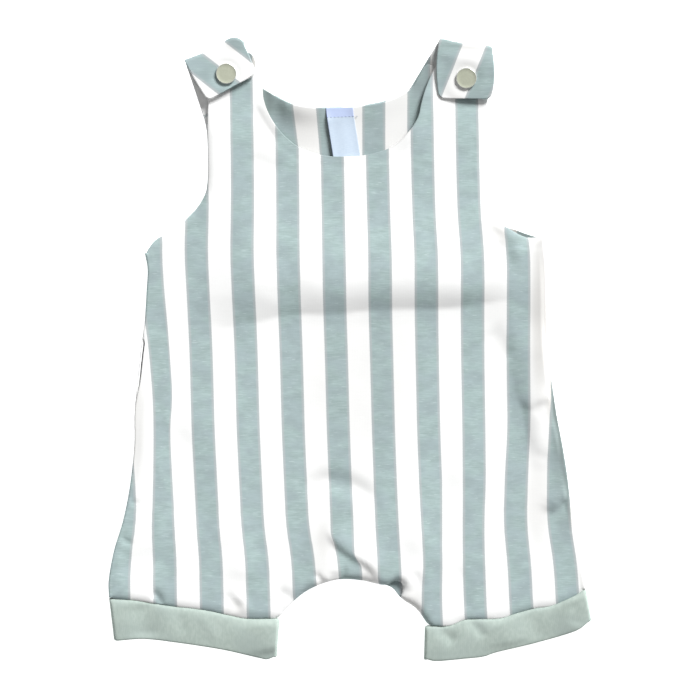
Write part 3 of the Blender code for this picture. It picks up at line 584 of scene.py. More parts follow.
# ---- front panel
front = {
    "spacing": 1.75,
    "edgeStep": 1.7,
    "sideReach": 3.2,  # how far in from its foot the rolled band along a side runs before the open cloth
    "rollPattern": 0.6,  # how much of the way round a roll the stripes are carried on
    "seamUp": 1.15,  # how far up the roll a side seam lies where it stays out of sight
    "seamGape": 0.08,  # how much wider it gapes for each millimetre that it comes up
    # edges: height, width of the slope that rises from it, shape of the slope
    "slopes": {
        "hem": (3.5, 4.5, roundOver),
        "inseam": (1.9, 3.6, roundOver),
        "armhole": (3.2, 5, roundOver),
        "neck": (4.9, 5, ease),
        "strapEnd": (frontStrapZ, 3, ease),
        "leftSide": (sideSeamZ + 0.9, 4, ease),
        "rightSide": (sideSeamZ + 1.8, 3, ease),
    },
    # seams beside the neck (edge 6) and the armholes (4 and 8): which edge, how far in
    "stitchLines": ((6, 5.6), (4, 5), (8, 5)),
    "profile": (  # y, height of the cloth up the middle
        (-160, 4.7), (-120, 5), (-70, 4.7), (-10, 4.5), (14, 4.5), (30, 4.9), (60, 4.9),
        (106, 4.9), (122, 4.6), (136, 3.4), (141, 2.9), (176, 2.9),
    ),
    "waves": ((38, 0.30, 1.5), (15, 0.10, 7.5), (7, 0.03, 3.1)),  # wavelength, height, seed
    "strapWaves": (130, 0.3),  # the straps start here and keep this share of the waves
    # soft folds: width, height (down is negative), line
    "soft": (
        (5.5, -1.35, ((-29, -84), (-18, -75), (-8.5, -73.6), (3, -77.6), (17, -87))),
        (10, -0.9, ((-99, -38), (-92.5, -73), (-90, -104))),
        (8, -0.8, ((-132, -121.5), (-118, -120), (-98, -119))),
        (17, 0.9, ((108, 60), (111, 30), (114, 0), (116, -40))),
        (5, -0.9, ((-58, 138), (-48, 128.6), (-40, 117))),
        (4.5, -0.6, ((-60, 108), (-48, 104), (-36, 101))),
        (5, 0.8, ((84, 66), (93, 56), (100, 51))),
        (6, -0.9, ((78, 70), (86, 60), (94, 57))),
        (7, -0.9, ((76, 11), (84, 4), (90, -8))),
        (3, -0.25, ((103, -57), (108, -60), (113, -62))),
        (3.5, -0.9, ((-42, -136), (-36, -138.6), (-30, -141.5))),
        (1.6, -1, ((-20.5, -125.5), (-17, -129), (-14, -132.5))),
        (1.4, -0.9, ((-3, -122), (-3.6, -130.5))),
        (1.6, -0.8, ((-13, -128), (-8, -127), (-3, -127.6))),
        (2.5, -0.65, ((35, -124), (38.4, -131), (34, -136.5), (28, -138))),
        (1.4, -0.9, ((-125, -85.4), (-121.8, -86.4), (-118.5, -86.6))),
        (1.6, -0.8, ((-130.5, -106), (-126, -108), (-122, -110))),
        (2.2, -1.3, ((-112, -136), (-108.5, -139), (-106, -144))),
        (3.2, -0.65, ((-72, -138), (-66, -142), (-62, -148))),
        (2.6, 0.55, ((-66, -137), (-60, -142), (-58, -149))),
        (4, -0.5, ((60, -120), (64, -134), (66, -150))),
        (9, 0.9, ((44, -60), (38, -90), (40, -120))),
        (8, -0.6, ((56, -66), (53, -92), (52, -118))),
        (9, 0.7, ((-70, -96), (-62, -112), (-60, -132))),
        (10, -0.5, ((-40, 60), (-36, 40), (-38, 24))),
        (7, 0.5, ((28, 92), (36, 66), (34, 36))),
    ),
    # lapped folds: height, steep width at both ends, fade, trough, line with its high side on the right
    "lapped": (
        (3.9, 13.5, 24, 30, 0.5, ((110, 31), (87, 28), (56, 23.6), (31, 23), (11, 22.4), (-11, 20), (-34, 20),
            (-56, 15), (-88, 9))),
        (1.12, 2.2, 2.9, 8, 0.4, ((17.6, -134), (14.2, -128), (8.8, -121.6), (2.4, -118), (-6.4, -112),
            (-11.6, -106.4), (-15.5, -100.5))),
        (2, 5.5, 17, 12, 0.4, ((101.6, -70), (100.4, -51), (97, -34), (93, -22), (90.4, -10), (88, 3),
            (85, 16))),
        (0.6, 2.2, 2.6, 6, 0.3, ((114.5, -27.5), (109, -29.5), (105, -31), (101, -35.5))),
        (1.9, 1.8, 2.4, 6, 0.4, ((132, -74), (127.6, -79), (123.6, -83.2), (120, -86), (117.2, -89.4),
            (116.2, -93.4))),
    ),
    # edges that stand up: x, y, how far round, height
    "raised": ((41.5, 140, 13, 2), (34, 122, 10, 1), (104, 60, 14, 0.6)),
    "neckPaintedShade": (0.4, 0.45),  # painted shade along the neck edge: how much darker, how wide
    # painted shade: x, y, reach across and along, how much darker
    "paintedShades": (
        (110.5, 16, 8, 56, 0.26), (-120, -40, 4.5, 34, 0.24), (80, 22, 9, 45, 0.08), (121, -66, 8, 44, 0.34),
        (116.6, -30, 2.6, 15, 0.5), (119.8, -52, 2.6, 14, 0.5), (122.8, -72, 2.6, 13, 0.45),
        (125.6, -90, 2.6, 10, 0.25), (115.8, -44, 2.6, 15, 0.35), (113.8, -27, 2.4, 12, 0.5),
        (106, -86, 7, 26, 0.20), (-14.4, -107, 4, 10, 0.13), (11, -125.5, 6, 5.5, 0.2),
        (-63.7, -146, 6.5, 5.5, 0.18), (36, -142, 6.5, 8, 0.2), (132.5, -120, 3, 16, 0.3),
        (106.4, 22, 5.2, 46, 0.24), (5, -20, 38, 42, 0.13), (-19, -118, 8, 18, 0.14), (-50, 124, 9, 14, 0.1),
        (82, 66, 9, 13, 0.12), (-12, -88, 20, 22, 0.06), (95, 67, 13, 7, 0.34), (-55, 164, 5.5, 7, 0.6),
        (38, 150, 6, 14, 0.1),
    ),
}


def nearFold(points, line):
    # distance from a fold's line, share along it, and how the fold fades towards its ends
    gap, along = measureFrom(points, curveThrough(line, 2))
    return gap, along, ease(np.minimum(along, 1 - along) * 4)


def foldedHeight(points, settings):
    height = np.zeros(len(points))
    for width, rise, line in settings["soft"]:
        gap, _, fade = nearFold(points, line)
        height += rise * fade * np.exp(-((gap / width) ** 2))
    for rise, steep, steepEnd, reach, trough, line in settings["lapped"]:
        gap, along, fade = nearFold(points, line)
        steep = steep + (steepEnd - steep) * along
        beyond = np.maximum(gap - steep, 0) / reach
        high = rise * np.sin(np.clip(gap / steep, 0, 1) * math.pi / 2) * np.exp(-(beyond**2))
        below = np.maximum(-gap, 0)
        low = -trough * below / steep * np.exp(1 - below / steep)
        height += fade * np.where(gap > 0, high, low)
    return height


seamRides = {  # where the seam comes up into sight: low y, fade, high y, fade, distance along the roll
    "leftSide": ((-56, 44, 11, 7, 4.4), (-91, 5, -80, 5, 1.2)),
    "rightSide": ((2, 8, 27, 8, 2), (-28, 9, -6, 9, 2.3), (-128, 9, -104, 9, 2)),
}


def sideSeam(key):
    # per point of a silhouette: the point, the outward normal, how far up the roll the seam lies, half its gap
    side = curveThrough(outlines[key], front["edgeStep"], cloth["edgeRings"])
    opened = sum(
        most * ease((side[:, 1] - low) / lowFade) * ease((high - side[:, 1]) / highFade)
        for low, lowFade, high, highFade, most in seamRides[key]
    )
    mouth = cloth["seamGap"] / 2 + front["seamGape"] * opened
    return side[:, :2], rightOf(side), front["seamUp"] + opened, mouth


frontSides = ((3, "rightSide"), (9, "leftSide"))  # their places among the front's edges


def frontEdges():
    # every edge of the front, in order: points, then its height, slope width and slope shape
    step, gap, slopes = front["edgeStep"], cloth["seamGap"], front["slopes"]
    inner = {}
    for key in ("leftSide", "rightSide"):
        silhouette, normal, _, _ = sideSeam(key)
        run = np.linspace(0, 1, len(silhouette)) * np.linalg.norm(silhouette[-1] - silhouette[0])
        depth = rollReach + 0.15 + front["sideReach"] * ease(run / 14) * ease((run[-1] - run) / 14)
        inner[key] = silhouette - normal * depth[:, None]
    hemLeft, hemRight = (np.array(outlines[key]) + (0, gap * 0.6) for key in ("leftHem", "rightHem"))
    inseam = np.array(outlines["frontInseam"]) + (0, gap + 0.4)
    armRight, armLeft = np.array(outlines["rightArmhole"]), np.array(outlines["leftArmhole"])
    hemLeft[0], hemLeft[-1] = inner["leftSide"][-1], inseam[0]
    hemRight[0], hemRight[-1] = inseam[-1], inner["rightSide"][0]
    armRight[0], armLeft[-1] = inner["rightSide"][-1], inner["leftSide"][0]
    return (
        (curveThrough(hemLeft, step), *slopes["hem"]),
        (curveThrough(inseam, step), *slopes["inseam"]),
        (curveThrough(hemRight, step), *slopes["hem"]),
        (inner["rightSide"], *slopes["rightSide"]),
        (curveThrough(armRight, step), *slopes["armhole"]),
        (curveThrough(outlines["rightStrapEnd"], step), *slopes["strapEnd"]),
        (curveThrough(outlines["neckline"], step), *slopes["neck"]),
        (curveThrough(outlines["leftStrapEnd"], step), *slopes["strapEnd"]),
        (curveThrough(armLeft, step), *slopes["armhole"]),
        (inner["leftSide"], *slopes["leftSide"]),
    )


def frontHeight(points, edges):
    crown = np.interp(points[:, 1], *zip(*front["profile"]))
    middle = crown + foldedHeight(points, front)
    strapY, calm = front["strapWaves"]
    for wave, rise, seed in front["waves"]:
        middle += rise * unevenness(points, wave, seed) * np.where(points[:, 1] > strapY, calm, 1)
    lines = [edge[0] for edge in edges]
    for k, key in frontSides:  # a side counts from the foot of its roll
        silhouette, normal, _, _ = sideSeam(key)
        lines[k] = silhouette - normal * rollReach
    gaps = np.stack([np.abs(measureFrom(points, line)[0]) for line in lines], axis=1)
    weight = 1 / (gaps + 0.4) ** 3
    weight /= weight.sum(1)[:, None]
    low = np.stack([np.minimum(edge[1], crown) for edge in edges], axis=1)
    rise = np.stack([edge[3](gaps[:, k] / edge[2]) for k, edge in enumerate(edges)], axis=1)
    height = (weight * (low + (middle[:, None] - low) * rise)).sum(1)
    for x, y, size, rise in front["raised"]:
        height += rise * np.exp(-(((points[:, 0] - x) ** 2 + (points[:, 1] - y) ** 2) / size**2))
    # the turned edge at neck and armholes stands a little proud, with its seam a few millimetres in
    for k, inset in front["stitchLines"]:
        height -= 0.2 * np.exp(-(((gaps[:, k] - inset) / 0.9) ** 2)) * ease((crown - 2.6) / 1.2)
    return height


def sideRows(key, low, high, shares, edges):
    # rows of points round a side, from low to high, as distances from the foot, under and over the roll
    silhouette, normal, _, _ = sideSeam(key)
    half = cloth["sideRoll"] * math.pi  # the way round the roll
    foot = silhouette - normal * rollReach
    top = frontHeight(foot, edges)
    rows = []
    for share in shares:
        at = low + (high - low) * share
        turn = np.clip(at / cloth["sideRoll"], 0, math.pi) - math.pi / 2
        inward = np.maximum(at - half, 0)
        plan = foot + normal * (cloth["rollWidth"] * np.cos(turn) * (at < half) - inward)[:, None]
        height = backZ + (top - backZ) * (1 + np.sin(turn)) / 2
        over = inward > 0
        if over.any():
            height[over] = frontHeight(plan[over], edges)
        rows.append(np.column_stack([plan, height]))
    return rows


def fineShares(length):
    # the fine rows beside an edge, as shares of a strip's length
    return np.array((0, *cloth["edgeRings"][:-1])) / length


def makeFront():
    edges = frontEdges()
    outline = joinEdges([edge[0] for edge in edges])
    openEdges = [edge[0] for k, edge in enumerate(edges) if k not in dict(frontSides)]
    flat, faces = fillSheet(outline, openEdges, front["spacing"], cloth["edgeRings"])
    print("front filled:", len(flat))
    points, patterns = [np.column_stack([flat, frontHeight(flat, edges)])], [flat]
    first = len(flat)
    for k, key in frontSides:
        inner = edges[k][0]
        silhouette, normal, seam, mouth = sideSeam(key)
        low = seam + mouth
        depth = np.einsum("ij,ij->i", silhouette - inner, normal) - rollReach
        high = cloth["sideRoll"] * math.pi + depth
        fine = fineShares(6)
        shares = np.concatenate([fine, np.linspace(fine[-1], 1, 15)[1:]])
        rows = sideRows(key, low, high, shares, edges)
        rows[-1][:, :2] = inner
        rows[-1][:, 2] = frontHeight(inner, edges)
        for row, share in zip(rows, shares):
            # the front's edge stands off the back where the seam gapes
            row[:, 2] += (mouth - cloth["seamGap"] / 2) * 0.25 * (1 - share)
            left = high - (low + (high - low) * share) - np.linalg.norm(row[:, :2] - inner, axis=1)
            patterns.append(row[:, :2] + normal * left[:, None] * front["rollPattern"])
        points += rows
        faces += gridFaces(len(rows), len(silhouette), first)
        first += len(rows) * len(silhouette)
    pattern = np.vstack(patterns)
    uv = patternPlace(frontStripes(pattern), pattern[:, 1])

    def paintedShade(middle):
        # painted shade along the very edge of the neck too
        neckline = edges[6][0]
        gap = measureFrom(middle, neckline)[0]
        share, width = front["neckPaintedShade"]
        return paintedShadeOf(middle, front["paintedShades"]) * (1 - share * np.exp(-((gap / width) ** 2)))

    wall = cloth["jerseyWall"]
    piece = clothShell("frontCloth", np.vstack(points), faces, uv, wall, finishes["jersey"], paintedShade)
    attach(piece, "root")
    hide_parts("front_panel")
    return piece


# ---- back panel with its two straps
straps = {
    "left": {
        "root": ((-82.6, 131), (-49.5, 148.6)),
        "fold": ((-93.4, 163.4), (-61.6, 176.6)),
        "end": ((-80, 140.4), (-52.8, 155.4)),
        "crest": (
            (0, 0.1), (0.28, -0.2), (0.5, 0.1), (0.68, 0.5), (0.78, 1.6), (0.87, 1.5), (0.94, 0.2),
            (0.975, -1.6), (1, -3.6),
        ),
        "tilt": 0, "sideBow": 0.4, "curl": 1.9, "lift": 0, "fall": 0.3, "snap": (-69.7, 155.6),
        "stripeFrom": (-71.6, 158.3), "stripeNormal": (-0.611, -0.791), "stripeShift": 3.43,
    },
    "right": {
        "root": ((34.4, 148.6), (75.2, 131)),
        "fold": ((50.4, 176.4), (80.6, 171.8)),
        "end": ((50, 141.8), (79.9, 141.4)),
        "crest": (
            (0, -0.9), (0.1, -0.7), (0.25, -1.2), (0.45, -1.4), (0.7, -1), (0.88, -0.7), (0.96, -0.8), (1, -2),
        ),
        "tilt": 0.05, "sideBow": 1.4, "curl": 2.2, "lift": 0.8, "fall": 1.3, "snap": (65.5, 153),
        "stripeFrom": (76.5, 170.9), "stripeNormal": (0.928, -0.374),
    },
}
back = {
    "spacing": 3.4,
    "edgeStep": 2.2,
    "rootRows": 22,
    "foldRows": 15,
    "rowStep": 1.2,
    "cornerRadius": 3.4,
    "cornerStep": 0.32,
    "cornerCurl": 0.4,
    "endRows": (0.62, 0.42, 0.24, 0.1, 0),  # the last rows, counted from a strap's free end
    "columns": 26,
    "edgeMargin": 1.6,
    "edgeColumns": (0, 0.1, 0.28, 0.52, 0.9),
    "curlWidth": 2.6,  # how far the curl at the left edge of a strap reaches in
    # cloth round a snap: depth or height, distance from its middle, width
    "press": (-0.25, 6.4, 1.2),
    "pillow": (0.3, 11, 3),
    "tabFrom": (3, 138),  # the tabs lie above this height and beyond this y
    # painted shade on the back: x, y, reach across and along, how much darker; the second set is for the tabs
    "paintedShades": (
        (40, 158, 8, 15, 0.6), (99, 66.5, 11, 4.5, 0.85), (122, -62, 10, 54, 0.74), (112, 26, 6, 44, 0.3),
    ),
    "tabPaintedShades": ((65, 156, 24, 22, 0.11), (-64.5, 173, 6.5, 6, 0.3), (67, 174, 20, 5, 0.22)),
}


def ringRound(distance, ring):
    rise, far, width = ring
    return rise * np.exp(-(((distance - far) / width) ** 2))


def strapBand(strap, first):
    # root, under the front strap, over the fold, and down to the free end
    width = np.linalg.norm(np.subtract(*strap["fold"]))
    margin = back["edgeMargin"]
    inner = np.linspace(margin, width - margin, back["columns"])
    outer = back["edgeColumns"]
    across = np.concatenate([outer, inner, [width - c for c in outer[::-1]]]) / width

    def between(line, share):
        a, b = (np.array(p, float) for p in line)
        return a + (b - a) * share[:, None]

    root = between(strap["root"], across)
    start, finish = (np.array(p) for p in strap["fold"])
    along = (finish - start) / np.linalg.norm(finish - start)
    up = np.array((-along[1], along[0]))
    crest = between(strap["fold"], across) + up * np.interp(across, *zip(*strap["crest"]))[:, None]
    foot = crest - up * (rollReach + 0.1)
    curl = np.exp(-((across * width / back["curlWidth"]) ** 2)) * strap["curl"]
    low = backZ + curl
    rows, bands = [], []
    for t in np.linspace(0, 1, back["rootRows"]):
        rows.append(np.column_stack([root + (foot - root) * t, backZ + curl * ease((t - 0.3) / 0.5)]))
        bands.append(0)
    for angle in np.linspace(-90, 90, back["foldRows"])[1:]:
        turn = math.radians(angle)
        height = low + (tabZ - low) * (1 + math.sin(turn)) / 2
        rows.append(np.column_stack([foot + up * cloth["rollWidth"] * math.cos(turn), height]))
        bands.append(ease((angle + 60) / 90))
    length = np.linalg.norm(np.mean(strap["end"], axis=0) - foot.mean(0))
    corner = back["cornerRadius"]
    straight = np.arange(back["rowStep"], length - corner - back["rowStep"] / 2, back["rowStep"])
    rounded = length - np.arange(corner, 0.9, -back["cornerStep"])
    for t in np.concatenate([straight, rounded, length - np.array(back["endRows"])]) / length:
        fromEnd = (1 - t) * length
        inset = (corner - math.sqrt(max(0, corner**2 - max(0, corner - fromEnd) ** 2))) / width
        squeeze = 0.5 + (across - 0.5) * (1 - 2 * inset)
        spread = np.stack([np.interp(squeeze, across, foot[:, k]) for k in range(2)], axis=1)
        plan = spread + (between(strap["end"], squeeze) - spread) * t
        plan += along * (strap["sideBow"] * math.sin(math.pi * t) * (2 * across - 1) ** 3)[:, None]
        toSnap = np.linalg.norm(plan - strap["snap"], axis=1)
        height = tabZ + strap["lift"] * ease(t / 0.3) - strap["fall"] * t
        height += back["cornerCurl"] * np.abs(2 * across - 1) ** 4 * t
        height += ringRound(toSnap, back["press"])
        height += ringRound(toSnap, back["pillow"]) * np.sin(math.pi * across)
        height += strap["tilt"] * (plan[:, 0] - strap["snap"][0]) * ease(t / 0.4)
        rows.append(np.column_stack([plan, height]))
        bands.append(1)
    points = np.vstack(rows)
    plan, columns = points[:, :2], len(across)
    under = frontStripes(plan) + strap["stripeShift"] if "stripeShift" in strap else facingStripes(plan)
    over = ((plan - strap["stripeFrom"]) @ np.array(strap["stripeNormal"])) / cloth["stripePitch"]
    over += np.round(np.mean(under[: columns * 3]) - np.mean(over[: columns * 3]))
    share = np.repeat(bands, columns)
    uv = patternPlace(under + (over - under) * share, plan[:, 1])
    return points, gridFaces(len(rows), columns, first), root, uv


def onTab(middle):
    height, y = back["tabFrom"]
    return ease(middle[:, 2] - height) * (middle[:, 1] > y)


def makeBack():
    step, gap = back["edgeStep"], cloth["seamGap"]
    points, faces, patterns, roots, feet, first = [], [], [], {}, {}, 0
    for name, strap in straps.items():
        band, bandFaces, roots[name], uv = strapBand(strap, first)
        points.append(band)
        patterns.append(uv)
        faces += bandFaces
        first += len(band)
    edges = frontEdges()
    for name, key in (("left", "leftSide"), ("right", "rightSide")):
        silhouette, normal, seam, mouth = sideSeam(key)
        feet[name] = silhouette - normal * rollReach
        high = seam - mouth
        fine = 1 - fineShares(high.max())[::-1]
        shares = np.concatenate([np.linspace(0, fine[0], 12)[:-1], fine])
        rows = sideRows(key, np.zeros(len(high)), high, shares, edges)
        points.append(np.vstack(rows))
        patterns += [patternPlace(backStripes(silhouette), silhouette[:, 1])] * len(rows)
        faces += gridFaces(len(rows), len(silhouette), first)
        first += len(points[-1])
    hemLeft, hemRight = (np.array(outlines[key]) + (0, gap) for key in ("leftHem", "rightHem"))
    hemLeft[0], hemRight[-1] = feet["left"][-1], feet["right"][0]
    armRight, armLeft = (np.array(outlines[key]) for key in ("backRightArmhole", "backLeftArmhole"))
    armRight[0], armLeft[-1] = feet["right"][-1], feet["left"][0]
    inseam = np.array(outlines["inseam"]) + (0, 2 * gap)
    inseam[0], inseam[-1] = hemLeft[-1], hemRight[0]
    lines = (hemLeft, inseam, hemRight, armRight, outlines["backNeck"], armLeft)
    free = [curveThrough(line, step) for line in lines]
    right = [feet["right"], free[3], roots["right"][::-1]]
    left = [roots["left"][::-1], free[5], feet["left"]]
    outline = joinEdges([*free[:3], *right, free[4], *left])
    flat, fillFaces = fillSheet(outline, free, back["spacing"], cloth["edgeRings"])
    points.append(np.column_stack([flat, np.full(len(flat), backZ)]))
    patterns.append(patternPlace(backStripes(flat), flat[:, 1]))
    faces += [tuple(i + first for i in face) for face in fillFaces]

    def wall(middle):
        return cloth["jerseyWall"] + (cloth["tabWall"] - cloth["jerseyWall"]) * onTab(middle)

    # painted shade, with its own spots on the tabs
    def paintedShade(middle):
        return np.where(onTab(middle) > 0.2, paintedShadeOf(middle, back["tabPaintedShades"]), paintedShadeOf(middle, back["paintedShades"]))

    pattern = np.vstack(patterns)
    piece = clothShell("backCloth", np.vstack(points), faces, pattern, wall, finishes["jersey"], paintedShade)
    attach(piece, "root")
    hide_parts("back_panel")
    return piece


# ---- facing inside the back neck
facing = {
    "z": 2,
    "edgeZ": 1.72,
    "strapsFrom": (138, 8),  # where its shoulders begin, and over what length they thin out
    "thinner": 0.15,
    "wave": (18, 4.2, 0.15),  # wavelength, seed, height
    "spacing": 2.3,
    "right": (
        (72, 24), (72, 78), (70, 92), (69.5, 106), (64, 120), (58, 134), (53, 148), (49, 158), (44.5, 161.5),
        (41.6, 159.6),
    ),
    "left": (
        (-81, 24), (-81, 74), (-76, 88), (-75, 106), (-67, 119), (-60, 132), (-57, 142), (-54, 148.6),
        (-50.4, 148.4),
    ),
    "neck": (
        (41.6, 159.6), (38.4, 153.8), (35.2, 148.2), (30.5, 144.7), (20.5, 140.3), (8, 137.9), (-4, 136.8),
        (-16, 136.6), (-25, 137.2), (-33.5, 139), (-41, 142.7), (-50.4, 148.4),
    ),
    "lift": 3.4,
    "liftDepth": 7.5,
    "lifted": (  # x, share of the lift
        (-47, 0), (-41, 0.5), (-36, 1), (-28, 0.85), (-12, 0.3), (30, 0.15), (36, 0),
    ),
    # painted shade on the facing: x, y, reach across and along, how much darker
    "paintedShades": (
        (0, 100, 300, 300, 0.2), (-47.8, 143, 4.6, 13, 0.58), (40, 152, 9, 14, 0.28), (-26, 128, 11, 15, 0.1),
    ),
}


def makeFacing():
    neck = curveThrough(facing["neck"], 1.8)
    right, left = curveThrough(facing["right"], 3), curveThrough(facing["left"], 3)[::-1]
    bottom = curveThrough((facing["left"][0], facing["right"][0]), 5)
    outline = joinEdges([bottom, right, neck, left])
    flat, faces = fillSheet(outline, [neck, right], facing["spacing"], cloth["edgeRings"])
    gap = np.abs(measureFrom(flat, neck)[0])
    x, y = flat[:, 0], flat[:, 1]
    start, length = facing["strapsFrom"]
    wave, seed, rise = facing["wave"]
    strapSide = ease((y - start) / length) * ease((np.abs(x + 6) - 36) / 6)
    height = facing["z"] + (facing["edgeZ"] - facing["z"]) * strapSide
    height += rise * unevenness(flat, wave, seed) * (1 - strapSide)
    lifted = np.interp(x, *zip(*facing["lifted"]))
    height += facing["lift"] * lifted * np.exp(-((gap / facing["liftDepth"]) ** 2))
    points = np.column_stack([flat, height])
    uv = patternPlace(facingStripes(flat), y)

    def wall(middle):
        return cloth["facingWall"] - facing["thinner"] * ease((middle[:, 1] - start) / length)

    # painted shade
    def paintedShade(middle):
        return paintedShadeOf(middle, facing["paintedShades"])

    piece = clothShell("facingCloth", points, faces, uv, wall, finishes["facing"], paintedShade)
    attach(piece, "root")
    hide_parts("back_facing")
    return piece


# ---- neck label, plain, with one row of stitches
label = {
    "top": (-6.1, 136.7),
    "lean": (0.4, 5.4),  # how far its middle has moved to the right: at the stitches, at the hidden end
    "width": 15.4,
    "length": 35,
    "z": 3,
    "leanFrom": 4,
    "leftLift": 1.3,
    "topLift": (0.75, 7),  # height, how far down it fades
    "ripple": (0.2, 0.5),  # height, turn in a millimetre across
    "slant": 0.04,
    "twist": 0.06,
    "wall": 0.35,
    "stitchDepth": 5.2,
    "stitchPoints": 12,
    "stitchLength": 1.15,
    "stitchGap": 0.75,
    "stitchThick": 0.3,
}


def labelPoint(along, down):
    x0, y0 = label["top"]
    first, last = label["lean"]
    start = label["leanFrom"]
    below = max(0, down - start) / (label["length"] - start)
    lean = first * min(1, down / start) + (last - first) * below
    rise, turn = label["ripple"]
    lift = label["leftLift"] * ease((-along + 4) / 12) * ease(down / 8)
    lift += rise * math.sin(along * turn + 1) * ease(down / 6)
    top, fade = label["topLift"]
    height = label["z"] + lift + top * math.exp(-((down / fade) ** 2))
    return x0 + along + lean, y0 - down + along * label["slant"] + label["twist"] * along * below, height


def makeLabel():
    half, length, fine = label["width"] / 2, label["length"], (0, 0.08, 0.18)
    inner = np.linspace(-half + 0.6, half - 0.6, 20)
    across = np.concatenate([[-half + c for c in fine], inner, [half - c for c in fine[::-1]]])
    down = np.concatenate([fine, np.arange(0.6, length - 0.4, 0.6), [length - 0.08, length]])
    uv = [(a, d) for d in down for a in across]
    points = np.array([labelPoint(a, d) for a, d in uv])
    faces = gridFaces(len(down), len(across))
    piece = clothShell("labelCloth", points, faces, uv, label["wall"], finishes["label"])
    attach(piece, "root")
    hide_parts("neck_label")

    # the stitch row: a line of short threads set along a path
    curve = bpy.data.curves.new("stitchPath", "CURVE")
    curve.dimensions = "3D"
    spline = curve.splines.new("POLY")
    spline.points.add(label["stitchPoints"] - 1)
    for point, along in zip(spline.points, np.linspace(-half + 0.5, half + 1.6, label["stitchPoints"])):
        x, y, z = labelPoint(along, label["stitchDepth"])
        point.co = (x / 1000, y / 1000, (z + label["wall"] / 2 + 0.06) / 1000, 1)
    stitches = growStitches(curve, "labelStitches", label, finishes["thread"])
    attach(stitches, "root")
    return piece


def growStitches(curve, name, sizes, finish):
    # Geometry Nodes: resample the path, set one rounded thread on each point, turned along it
    host = addToScene(name + "Host", curve)
    tree = bpy.data.node_groups.new(name + "Tree", "GeometryNodeTree")
    face = tree.interface
    face.new_socket("Geometry", in_out="INPUT", socket_type="NodeSocketGeometry")
    values = {
        "Pitch": sizes["stitchLength"] + sizes["stitchGap"],
        "Length": sizes["stitchLength"],
        "Thickness": sizes["stitchThick"],
    }
    sockets = {key: face.new_socket(key, in_out="INPUT", socket_type="NodeSocketFloat") for key in values}
    face.new_socket("Geometry", in_out="OUTPUT", socket_type="NodeSocketGeometry")
    enter = addNode(tree, "NodeGroupInput").outputs
    spaced = {"Curve": enter["Geometry"], "Length": enter["Pitch"]}
    path = addNode(tree, "GeometryNodeResampleCurve", spaced, mode="LENGTH")
    thread = addNode(tree, "GeometryNodeMeshUVSphere", {"Segments": 10, "Rings": 7, "Radius": 0.5})
    thick = enter["Thickness"]
    size = addNode(tree, "ShaderNodeCombineXYZ", {"X": enter["Length"], "Y": thick, "Z": thick})
    shaped = {"Geometry": thread.outputs["Mesh"], "Scale": size.outputs[0]}
    shape = addNode(tree, "GeometryNodeTransform", shaped)
    tangent = addNode(tree, "GeometryNodeInputTangent")
    align = addNode(tree, "FunctionNodeAlignRotationToVector", {"Vector": tangent.outputs[0]}, axis="X")
    places = {"Points": path.outputs[0], "Instance": shape.outputs[0], "Rotation": align.outputs[0]}
    node = addNode(tree, "GeometryNodeInstanceOnPoints", places)
    for kind in ("GeometryNodeSetShadeSmooth", "GeometryNodeRealizeInstances"):
        node = addNode(tree, kind, {0: node.outputs[0]})
    node = addNode(tree, "GeometryNodeSetMaterial", {"Geometry": node.outputs[0], "Material": finish})
    addNode(tree, "NodeGroupOutput", {0: node.outputs[0]})
    modifier = host.modifiers.new("stitches", "NODES")
    modifier.node_group = tree
    for key, value in values.items():
        modifier[sockets[key].identifier] = value / 1000
    graph = bpy.context.evaluated_depsgraph_get()
    mesh = bpy.data.meshes.new_from_object(host.evaluated_get(graph))
    bpy.data.objects.remove(host)
    return addPiece(name, mesh, finish)


# ---- cuffs
cuffs = {
    "left": {
        "top": outlines["leftHem"],
        "endDip": 0.1,
        "topIn": (-0.4, 1),  # how far the first and last point of its top line move in
        "bottomIn": (2, 0.6),
        "bottom": (
            (-133.2, -164), (-116, -163), (-98, -165), (-72, -169), (-50, -174), (-46.6, -174.4),
            (-42.6, -173.2),
        ),
        "soft": (
            (4, -0.35, ((-99, -143), (-96, -152), (-93, -161))),
            (5, -0.12, ((-65, -149), (-56, -158), (-48, -168))),
            (3, 0.25, ((-86, -148), (-78, -158), (-74, -166))),
            (14, 1.5, ((-46, -150), (-44, -162), (-42, -172))),
            (8, -1.2, ((-118, -141), (-116, -152), (-115, -164))),
        ),
    },
    "right": {
        "top": outlines["rightHem"],
        "endDip": 0.6,
        "topIn": (-0.4, -0.4),
        "bottomIn": (0, 2),
        "bottom": (
            (43.6, -174.6), (48, -175.5), (56, -175), (64, -174.2), (75, -173), (83, -170.4), (104, -165.4),
            (126, -158.8), (136.6, -153.2),
        ),
        "soft": (
            (3.4, -0.8, ((48, -156), (55, -161), (60, -166))),
            (3, -0.7, ((66, -152), (72, -157), (76, -163))),
            (5, -0.4, ((98, -148), (104, -156), (106, -164))),
            (4, -0.5, ((124, -141), (127, -148), (126, -156))),
            (14, 2.1, ((125, -128), (131, -145), (136, -164))),
            (10, 0.9, ((84, -151), (88, -160), (90, -168))),
        ),
    },
}
cuff = {
    "roll": 1.6,
    "bulge": 1,
    "wall": 2,
    "columns": 96,
    "endSteps": 12,
    "rows": 20,
    "noseSteps": 8,
    "topNose": 0.35,  # how round its top is, next to the round of its bottom fold
    "puff": 0.45,
    "seamDip": 1.1,
    "wave": (16, 2.2, 0.12),  # wavelength, seed, height
    "endReach": 11,  # columns over which the dip at its ends fades
}


